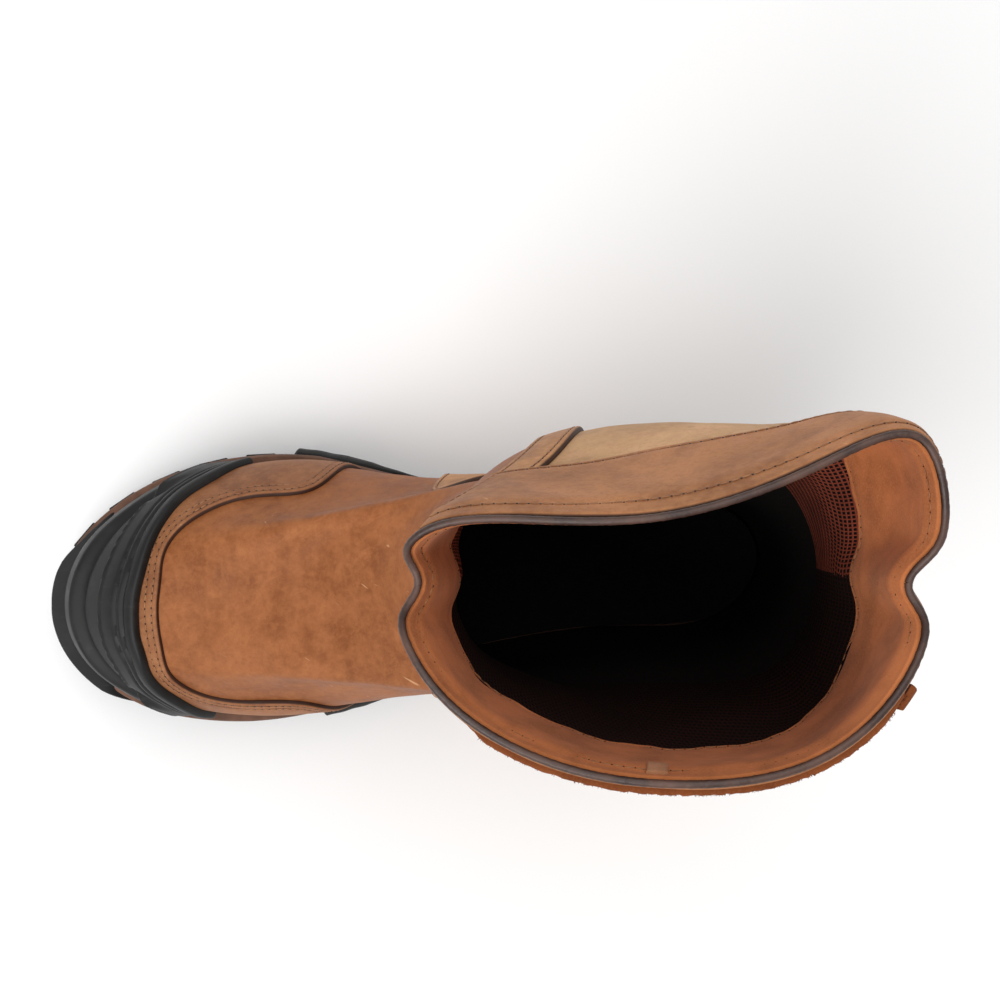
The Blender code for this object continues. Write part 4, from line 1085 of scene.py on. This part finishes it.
class BOOT_OT_inner_bottom(BootOperator, bpy.types.Operator):
    """Build the cupped footbed and finish the steel and board pieces under it"""

    bl_idname = "boot.inner_bottom"
    bl_label = "Footbed and inner pieces"

    def execute(self, context):
        sizes, _ = self.settings(context)
        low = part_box("footbed")[0].z

        def inset(u):
            from_toe = np.minimum(u, STATIONS - u) / BOTTOM_TOE_REACH
            return 7.6 * MM + 6.5 * MM * smooth_step(1 - from_toe)

        def level(rise):
            return lambda x: np.maximum(feather_height(x), low) + rise

        base = 3.2 * MM
        top = base + sizes.footbed
        heights = ((1.0, 0.0), (0.75, -0.2), (0.5, 0.2), (0.3, 1.0), (0.15, 2.1), (0.06, 3.1),
                   (0.02, 3.6), (0.0, 3.5))
        rows = [(share, inset, level(top + rise * MM)) for share, rise in heights]
        rows += [(0.0, inset, level(base + 1.0 * MM)), (0.02, inset, level(base)), (0.5, inset, level(base)),
                 (1.0, inset, level(base))]
        bed = finished("footbed_cushion", lofted(feather_edge, rows, 181), LOOKS["topcloth"], "footbed_foam",
                       ("footbed",))
        for node, look in (("toe_cap", "steel"), ("shank", "steel"), ("midsole_plate", "steel"),
                           ("heel_stiffener", "board"), ("insole_board", "board"),
                           ("toe_cap_edge_strip", "outsole")):
            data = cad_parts[node].data
            data.materials.clear()
            data.materials.append(LOOKS[look])
        return {"FINISHED"}


# ---------------------------------------------------------------------------- linings and facings


def lining_face(v, sizes):
    """Outer face of the lining: behind the steel in the foot, close to the leather in the shaft."""
    shaft = smooth_step((v - 3.5) / 0.9)
    return -sizes.leather - LAYER_GAP - (1.8 * MM + CURVED_EDGE_GAP) * (1 - shaft)


class BOOT_OT_linings(BootOperator, bpy.types.Operator):
    """Build the felt lining of the foot and the mesh lining of the shaft"""

    bl_idname = "boot.linings"
    bl_label = "Linings"

    def execute(self, context):
        sizes, _ = self.settings(context)
        pieces = (
            ("vamp_felt", -2.99, 2.99, 0.0, LINING_SPLIT, "felt", "felt_lining", "vamp_lining"),
            ("heel_felt", 3.01, 8.99, 0.0, LINING_SPLIT, "felt", "felt_lining", "heel_lining"),
            ("shaft_mesh_lateral", -0.03, 6.03, LINING_SPLIT - 0.06, 7.2, "mesh", "mesh_lining",
             "shaft_lining_lateral"),
            # The medial mesh takes the darker copy of the mesh: painted shade.
            ("shaft_mesh_medial", 5.97, 12.03, LINING_SPLIT - 0.06, 7.2, "shade_painted_mesh", "mesh_lining",
             "shaft_lining_medial"),
        )
        for name, low, high, start, end, look, slot, node in pieces:
            patch = Patch("v", constant(low), constant(high), start, end, pitch=3.2 * MM)
            waves = leather_relief(patch.u, patch.v, 0.2 * MM)
            height = waves - patch.rounded(sizes.lining - 0.2 * MM)
            patch.shell(name, lining_face(patch.v, sizes) + 0.2 * MM, height, LOOKS[look], slot, (node,))
        return {"FINISHED"}


def facing_foot(u):
    """The lower edge of the facings, cut by hand and a little uneven."""
    depth = np.interp(u, (0, 1, 3, 4.5, 5.5, 6.6, 7.2, 8, 9, 10, 11, 12),
                      (6.92, 6.8, 6.6, 6.3, 6.15, 6.15, 6.35, 6.75, 6.98, 7.02, 6.98, 6.92))
    return depth + 0.035 * np.sin(4.1 * u + 0.5) + 0.02 * np.sin(9.3 * u) + 0.01 * np.sin(23 * u)


class BOOT_OT_facings(BootOperator, bpy.types.Operator):
    """Build the nubuck facings inside the rim, with their stitching and the sewn patch"""

    bl_idname = "boot.facings"
    bl_label = "Rim facings"

    def execute(self, context):
        sizes, _ = self.settings(context)
        rows = Rows(sizes)
        base = -sizes.leather - LAYER_GAP
        for side, low in (("lateral", -0.03), ("medial", HALF - 0.03)):
            high = low + HALF + 0.06
            patch = Patch("u", facing_foot, constant(RIM), low, high, pitch=2.0 * MM)
            height = patch.rounded(sizes.facing + 0.5 * MM, 0.8 * MM)
            height = height + groove(patch.low, 2.2 * MM, 0.6 * MM, 0.3 * MM)
            height = height + groove(patch.high, 4.2 * MM, 0.8 * MM, 0.4 * MM)
            height = height + leather_relief(patch.u, patch.v, 0.4 * MM) * smooth_step(patch.high / (6 * MM))
            patch.shell(f"nubuck_facing_{side}", base + SKIVED * pinched(patch.v), -height,
                        LOOKS["facing"], "facing_leather", (f"rim_facing_{side}",))
            line = np.linspace(low + 0.04, high - 0.04, 160)
            rows.sew(line, facing_foot(line), base - sizes.facing - 0.3 * MM, -2.2 * MM, 3.4 * MM, 0.7)
            depth = base - sizes.facing - 0.3 * MM + SKIVED * pinched(TOP_ROW)
            rows.sew(line, np.full_like(line, TOP_ROW), depth, 0.0, thick=0.7)
        patch = Patch("v", constant(9.08), constant(9.28), 7.74, 7.93, pitch=1.5 * MM)
        patch_base = base - sizes.facing + SKIVED * pinched(patch.v)
        patch.shell("sewn_patch", patch_base, -patch.rounded(1.1 * MM, 0.6 * MM), LOOKS["pale_patch"],
                    "trim_leather")
        rows.done("facing_stitches", LOOKS["thread"])
        return {"FINISHED"}


# ------------------------------------------------------------------------------------- the upper


class BOOT_OT_vamp(BootOperator, bpy.types.Operator):
    """Build the one-piece oiled leather vamp and shaft front"""

    bl_idname = "boot.vamp"
    bl_label = "Vamp"

    def execute(self, context):
        sizes, _ = self.settings(context)
        patch = Patch("v", lambda v: -side_seam(v) + seam_margin(v), lambda v: side_seam(v) - seam_margin(v),
                      0.0, RIM, pitch=2.0 * MM)
        height = patch.rounded(sizes.leather) + leather_relief(patch.u, patch.v, 0.22 * MM)
        flex = bump_at(patch.v, 4.6, 0.9) * np.exp(-((patch.u / 1.3) ** 2))
        height = height + 0.35 * MM * flex * np.sin(patch.v * 14 + 0.8 * np.sin(patch.u * 3))
        base = -sizes.leather * (1 - 0.45 * pinched(patch.v))
        height = height * (1 - 0.45 * pinched(patch.v))
        patch.shell("vamp_front", base, height, LOOKS["vamp"], "vamp_leather", ("vamp",))
        return {"FINISHED"}


class BOOT_OT_side_panels(BootOperator, bpy.types.Operator):
    """Build the golden side panels"""

    bl_idname = "boot.side_panels"
    bl_label = "Side panels"

    def execute(self, context):
        sizes, _ = self.settings(context)
        back = HALF - 0.01
        limits = (
            ("lateral", lambda v: side_seam(v) + seam_margin(v), constant(back)),
            ("medial", constant(STATIONS - back), lambda v: STATIONS - side_seam(v) - seam_margin(v)),
        )
        for side, low, high in limits:
            patch = Patch("v", low, high, 0.0, 7.8)
            height = patch.rounded(sizes.leather) + leather_relief(patch.u, patch.v, 0.22 * MM)
            patch.shell(f"side_leather_{side}", -sizes.leather, height, LOOKS["side"], "side_leather",
                        (f"side_panel_{side}",))
        return {"FINISHED"}


# The trims lie this far over the main leather.
TRIM_BASE = 0.15 * MM


class BOOT_OT_side_strips(BootOperator, bpy.types.Operator):
    """Build the strips over the side seams, stitched along both edges"""

    bl_idname = "boot.side_strips"
    bl_label = "Side strips"

    def execute(self, context):
        sizes, _ = self.settings(context)
        rows = Rows(sizes)
        top = BAND_FOOT + 0.05
        v = np.linspace(0.02, top, 300)
        for side in ("lateral", "medial"):
            def front(v):
                return side_seam(v) - 0.02

            def back(v):
                return side_seam(v) + STRIP_WIDTH

            if side == "medial":
                low, high = (lambda v: STATIONS - back(v)), (lambda v: STATIONS - front(v))
            else:
                low, high = front, back
            patch = Patch("v", low, high, 0.0, top, pitch=1.8 * MM)
            near = np.minimum(patch.low, patch.high)
            height = patch.rounded(sizes.trim) + groove(near, 2.1 * MM)
            height = height + leather_relief(patch.u, patch.v, 0.1 * MM)
            patch.shell(f"strip_leather_{side}", TRIM_BASE, height, LOOKS["strip"], "trim_leather",
                        (f"side_strip_{side}",))
            surface_offset = TRIM_BASE + sizes.trim - 0.05 * MM
            rows.sew(low(v), v, surface_offset, 2.1 * MM)
            rows.sew(high(v), v, surface_offset, -2.1 * MM)
        rows.done("strip_stitches", LOOKS["thread"])
        return {"FINISHED"}


class BOOT_OT_mudguard(BootOperator, bpy.types.Operator):
    """Build the leather mudguard over the toe with its double row of stitches"""

    bl_idname = "boot.mudguard"
    bl_label = "Mudguard"

    def execute(self, context):
        sizes, _ = self.settings(context)
        seam = toe_seam(*MUDGUARD)
        low, high = MUDGUARD[:2]
        patch = Patch("u", constant(0.0), seam, low, high, pitch=1.9 * MM)
        insets = (2.4 * MM, 5.5 * MM)
        height = patch.rounded(sizes.trim, 1.2 * MM)
        for inset in insets:
            height = height + groove(patch.high, inset)
        height = height + leather_relief(patch.u, patch.v, 0.08 * MM)
        patch.shell("mudguard_leather", TRIM_BASE, height, LOOKS["mudguard"], "trim_leather",
                    ("toe_mudguard",))
        rows = Rows(sizes)
        u = np.linspace(low + 0.02, high - 0.02, 500)
        for inset in insets:
            rows.sew(u, seam(u), TRIM_BASE + sizes.trim - 0.05 * MM, inset, pitch=2.9 * MM)
        rows.done("mudguard_stitches", LOOKS["thread"])
        return {"FINISHED"}


# Distances of the bumper's two stitched grooves from its rear edge.
BUMPER_ROWS = (5.6 * MM, 9.0 * MM)


class BOOT_OT_bumper(BootOperator, bpy.types.Operator):
    """Build the ridged rubber toe bumper with its two stitched grooves"""

    bl_idname = "boot.bumper"
    bl_label = "Toe bumper"

    def execute(self, context):
        sizes, _ = self.settings(context)
        seam = toe_seam(*BUMPER)
        low, high = BUMPER[:2]
        patch = Patch("u", constant(0.0), seam, low, high, pitch=0.9 * MM)
        base = TRIM_BASE + sizes.trim + 0.2 * MM
        height = self.profile(sizes, patch)
        patch.shell("bumper_rubber", base, height, LOOKS["bumper"], "black_rubber", ("toe_bumper",))
        rows = Rows(sizes)
        u = np.linspace(-1.15, 1.2, 400)
        for inset in BUMPER_ROWS:
            rows.sew(u, seam(u), base + sizes.bumper - 0.2 * MM, inset, pitch=3.0 * MM)
        rows.done("bumper_stitches", LOOKS["black_thread"])
        return {"FINISHED"}

    def profile(self, sizes, patch):
        """Thickness of the rubber, from the distances to its rear edge (top) and its foot."""
        top, foot = patch.high, patch.low
        front = 0.45 + 0.55 * np.exp(-((patch.u / 0.75) ** 4))
        room = smooth_step((top - 9 * MM) / (8 * MM))
        height = patch.rounded(sizes.bumper + 0.6 * MM, 1.0 * MM)
        # A low bead behind the two stitched grooves.
        height = height + 0.35 * MM * bump_at(top, 2.3 * MM, 1.3 * MM)
        for inset in BUMPER_ROWS:
            height = height + groove(top, inset, 0.6 * MM, 0.9 * MM)
        # A step down to the ridged front, with a lip on its edge.
        height = height - 0.8 * MM * smooth_step((top - 18.0 * MM) / (0.7 * MM))
        height = height + 0.6 * MM * bump_at(top, 17.6 * MM, 0.6 * MM)
        # The thick roll round the toe, highest in front, the valley above it and the bead at its foot.
        roll = smooth_step((foot - 3 * MM) / (5 * MM)) - smooth_step((foot - 15.5 * MM) / (4 * MM))
        height = height + (sizes.ridge + 1.0 * MM) * front * roll * room
        height = height - 1.3 * MM * bump_at(foot, 20.5 * MM, 2.0 * MM) * room
        height = height + 0.9 * MM * bump_at(foot, 1.8 * MM, 1.3 * MM) * room
        # Both ends of the bumper are thinner.
        return height * (1 - 0.2 * smooth_step((np.abs(patch.u) - 1.3) / 0.4))


class BOOT_OT_heel(BootOperator, bpy.types.Operator):
    """Build the heel counter and the back stay"""

    bl_idname = "boot.heel"
    bl_label = "Heel counter and back stay"

    def execute(self, context):
        sizes, _ = self.settings(context)
        rows = Rows(sizes)
        low, high = HALF - COUNTER_REACH, HALF + COUNTER_REACH
        patch = Patch("u", constant(0.0), heel_line, low, high)
        insets = (2.3 * MM, 5.4 * MM)
        height = patch.rounded(sizes.trim, 1.2 * MM)
        for inset in insets:
            height = height + groove(patch.high, inset)
        height = height + leather_relief(patch.u, patch.v, 0.1 * MM)
        patch.shell("counter_leather", TRIM_BASE, height, LOOKS["mudguard"], "trim_leather",
                    ("heel_counter",))
        u = np.linspace(low + 0.02, high - 0.02, 400)
        top = TRIM_BASE + sizes.trim - 0.05 * MM
        for inset in insets:
            rows.sew(u, heel_line(u), top, inset)
        start = COUNTER_TOP + 0.02
        left, right = HALF - BACK_STAY_HALF, HALF + BACK_STAY_HALF
        patch = Patch("v", constant(left), constant(right), start, RIM, pitch=1.6 * MM)
        height = patch.rounded(sizes.trim) + groove(np.minimum(patch.low, patch.high), 2.1 * MM)
        base = TRIM_BASE - SKIVED * pinched(patch.v)
        patch.shell("stay_leather", base, height, LOOKS["band"], "trim_leather", ("back_stay",))
        v = np.linspace(start + 0.05, STITCH_TOP, 300)
        rows.sew(np.full_like(v, left), v, top, 2.1 * MM)
        rows.sew(np.full_like(v, right), v, top, -2.1 * MM)
        rows.done("heel_stitches", LOOKS["thread"])
        return {"FINISHED"}


class BOOT_OT_collar(BootOperator, bpy.types.Operator):
    """Build the leather collar bands round the rim"""

    bl_idname = "boot.collar"
    bl_label = "Collar bands"

    def execute(self, context):
        sizes, _ = self.settings(context)
        rows = Rows(sizes)
        back = HALF - BACK_STAY_HALF - 0.02
        top = TRIM_BASE + sizes.trim + 0.25 * MM
        for side in ("lateral", "medial"):
            def front(v):
                return side_seam(v) - 0.02

            low, high = front, constant(back)
            if side == "medial":
                low, high = constant(STATIONS - back), (lambda v: STATIONS - front(v))
            patch = Patch("v", low, high, BAND_FOOT, RIM, pitch=1.8 * MM)
            near = np.minimum(patch.start, patch.end)
            height = patch.rounded(sizes.trim + 0.3 * MM, 1.1 * MM) + groove(patch.start, 2.2 * MM)
            height = height + groove(patch.v, TOP_ROW, 0.012)
            height = height + leather_relief(patch.u, patch.v, 0.15 * MM)
            base = TRIM_BASE - SKIVED * pinched(patch.v)
            patch.shell(f"band_leather_{side}", base, height, LOOKS["band"], "trim_leather",
                        (f"collar_band_{side}",))
            for v, inset in ((BAND_FOOT, -2.2 * MM), (TOP_ROW, 0.0)):
                line = np.linspace(float(low(np.array(v))) + 0.03, float(high(np.array(v))) - 0.03, 260)
                rows.sew(line, np.full_like(line, v), top - SKIVED * pinched(v), inset)
            v = np.linspace(BAND_FOOT + 0.05, STITCH_TOP, 60)
            if side == "lateral":
                rows.sew(low(v), v, top, 2.2 * MM)
            else:
                rows.sew(high(v), v, top, -2.2 * MM)
        rows.done("collar_stitches", LOOKS["thread"])
        return {"FINISHED"}


# Loose fibres along the raw edge of the nubuck.
FIBRES = 500


class BOOT_OT_piping(BootOperator, bpy.types.Operator):
    """Build the rolled piping on the rim and the raw nubuck edge outside it"""

    bl_idname = "boot.piping"
    bl_label = "Rim piping"

    def execute(self, context):
        sizes, _ = self.settings(context)
        for side, low in (("lateral", 0.0), ("medial", HALF)):
            u = np.linspace(low, low + HALF, 241)
            rim = offset_surface(u, RIM, -sizes.leather / 2)
            below = offset_surface(u, RIM - 0.2, -sizes.leather / 2)
            up = unit(rim - below)
            along = unit(np.gradient(rim, axis=0))
            across = unit(np.cross(along, up))
            centre = rim + up * (sizes.piping + 0.2 * MM)
            turn = np.linspace(0, 2 * np.pi, 25)
            wrinkle = 1 + 0.05 * np.sin(u * 61) * np.sin(u * 17 + 1) + 0.03 * np.sin(u * 133)
            points = np.empty((len(u), len(turn), 3))
            for k, angle in enumerate(turn):
                round_out = up * np.sin(angle) * 1.1 + across * np.cos(angle) * 1.15
                points[:, k] = centre + sizes.piping * wrinkle[:, None] * round_out
            bm = folded_grid(len(u), len(turn), points)
            bmesh.ops.holes_fill(bm, edges=bm.edges, sides=0)
            bmesh.ops.recalc_face_normals(bm, faces=bm.faces)
            finished(f"piping_{side}", bm, LOOKS["piping"], "piping_leather", (f"rim_piping_{side}",), 60)
        self.raw_edge(sizes)
        return {"FINISHED"}

    def raw_edge(self, sizes):
        """The cut edge of nubuck that stands outside the piping on the medial side, with its fibres."""
        patch = Patch("v", constant(6.6), constant(10.85), 7.86, RIM - 0.03, pitch=1.2 * MM)
        chance = np.random.default_rng(3)
        ragged = chance.normal(0, 0.12 * MM, patch.u.shape[0])[:, None]
        height = patch.rounded(sizes.trim + 0.5 * MM, 0.8 * MM) + ragged
        height = height * smooth_step(np.minimum(patch.low, patch.high) / (16 * MM)) ** 0.6
        patch.shell("raw_nubuck_edge", TRIM_BASE, np.maximum(height, 0), LOOKS["raw_edge"],
                    "facing_leather")
        tab = Patch("v", constant(6.66), constant(6.86), 7.45, 7.9, pitch=1.5 * MM)
        tab.shell("pull_tab_end", TRIM_BASE + sizes.trim, tab.rounded(2.2 * MM, 0.7 * MM),
                  LOOKS["raw_edge"], "facing_leather")
        bm = bmesh.new()
        u = np.sort(chance.uniform(6.75, 10.6, FIBRES))
        v = chance.uniform(7.88, RIM - 0.04, FIBRES)
        roots = offset_surface(u, v, TRIM_BASE + sizes.trim + 0.3 * MM) - PLAN_SHIFT
        lean = unit(outward(u, v) + chance.normal(0, 0.5, (FIBRES, 3)) + np.array((0, 0, 0.5)))
        for root, way in zip(roots, lean):
            turn = Vector((0, 0, 1)).rotation_difference(Vector(way)).to_matrix().to_4x4()
            place = Matrix.Translation(Vector(root) + 0.2 * MM * Vector(way)) @ turn
            bmesh.ops.create_cone(bm, cap_ends=True, segments=4, radius1=0.13 * MM, radius2=0.04 * MM,
                                  depth=0.7 * MM, matrix=place)
        finished("nubuck_fibres", bm, LOOKS["raw_edge"], "facing_leather", smooth=180)


# ------------------------------------------------------------------------------------- the stage


class BOOT_OT_stage(BootOperator, bpy.types.Operator):
    """Set the boot on pale paper under soft lights, with a camera straight above it"""

    bl_idname = "boot.stage"
    bl_label = "Stage"

    def execute(self, context):
        bm = bmesh.new()
        bmesh.ops.create_grid(bm, x_segments=8, y_segments=8, size=3.0)
        mesh = bpy.data.meshes.new("floor")
        bm.to_mesh(mesh)
        bm.free()
        mesh.materials.append(LOOKS["floor"])
        floor = bpy.data.objects.new("floor", mesh)
        context.scene.collection.objects.link(floor)
        lamps = (("key", 32, 1.4, (-0.7, -0.9, 1.9)), ("fill", 19, 2.0, (0.2, 0.9, 2.1)))
        for name, power, size, place in lamps:
            data = bpy.data.lights.new(name, "AREA")
            data.energy = power
            data.size = size
            light = bpy.data.objects.new(name, data)
            light.location = place
            light.rotation_euler = (Vector((0, 0, 0.1)) - Vector(place)).to_track_quat("-Z", "Y").to_euler()
            context.scene.collection.objects.link(light)
        world = bpy.data.worlds.new("studio")
        world.use_nodes = True
        ground = world.node_tree.nodes["Background"]
        ground.inputs["Color"].default_value = (1, 1, 1, 1)
        ground.inputs["Strength"].default_value = 0.46
        context.scene.world = world
        context.scene.view_settings.view_transform = "Standard"
        data = bpy.data.cameras.new("camera")
        data.lens = 54
        data.sensor_width = 36
        camera = bpy.data.objects.new("camera", data)
        camera.location = Vector((0.036, 0.031, 0.666)) - Vector(PLAN_SHIFT)
        context.scene.collection.objects.link(camera)
        context.scene.camera = camera
        return {"FINISHED"}


OPERATORS = (
    BOOT_OT_stage,
    BOOT_OT_outsole,
    BOOT_OT_midsole,
    BOOT_OT_inner_bottom,
    BOOT_OT_linings,
    BOOT_OT_facings,
    BOOT_OT_vamp,
    BOOT_OT_side_panels,
    BOOT_OT_side_strips,
    BOOT_OT_mudguard,
    BOOT_OT_bumper,
    BOOT_OT_heel,
    BOOT_OT_collar,
    BOOT_OT_piping,
)


class BOOT_PT_sidebar(bpy.types.Panel):
    """Sizes, colours and the steps that build the boot"""

    bl_label = "Steel toe work boot"
    bl_space_type = "VIEW_3D"
    bl_region_type = "UI"
    bl_category = "Boot"

    def draw(self, context):
        for group in (context.scene.boot_sizes, context.scene.boot_colours):
            box = self.layout.box()
            for name in group.bl_rna.properties.keys():
                if name not in ("name", "rna_type"):
                    box.prop(group, name)
        for operator in OPERATORS:
            self.layout.operator(operator.bl_idname)


CLASSES = (BootSizes, BootColours, *OPERATORS, BOOT_PT_sidebar)


def register():
    for kind in CLASSES:
        bpy.utils.register_class(kind)
    bpy.types.Scene.boot_sizes = bpy.props.PointerProperty(type=BootSizes)
    bpy.types.Scene.boot_colours = bpy.props.PointerProperty(type=BootColours)


def unregister():
    del bpy.types.Scene.boot_colours
    del bpy.types.Scene.boot_sizes
    for kind in reversed(CLASSES):
        bpy.utils.unregister_class(kind)


def find_plan_shift():
    """The solids were centred after they were drawn: the shank's middle tells by how much."""
    low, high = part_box("shank")
    PLAN_SHIFT[:2] = (SHANK_MIDDLE - (low.x + high.x) / 2, -(low.y + high.y) / 2)


def main():
    register()
    find_plan_shift()
    scene = bpy.context.scene
    make_looks(scene.boot_sizes, scene.boot_colours)
    for operator in OPERATORS:
        getattr(bpy.ops.boot, operator.bl_idname.split(".")[1])()


if __name__ == "__main__":
    main()
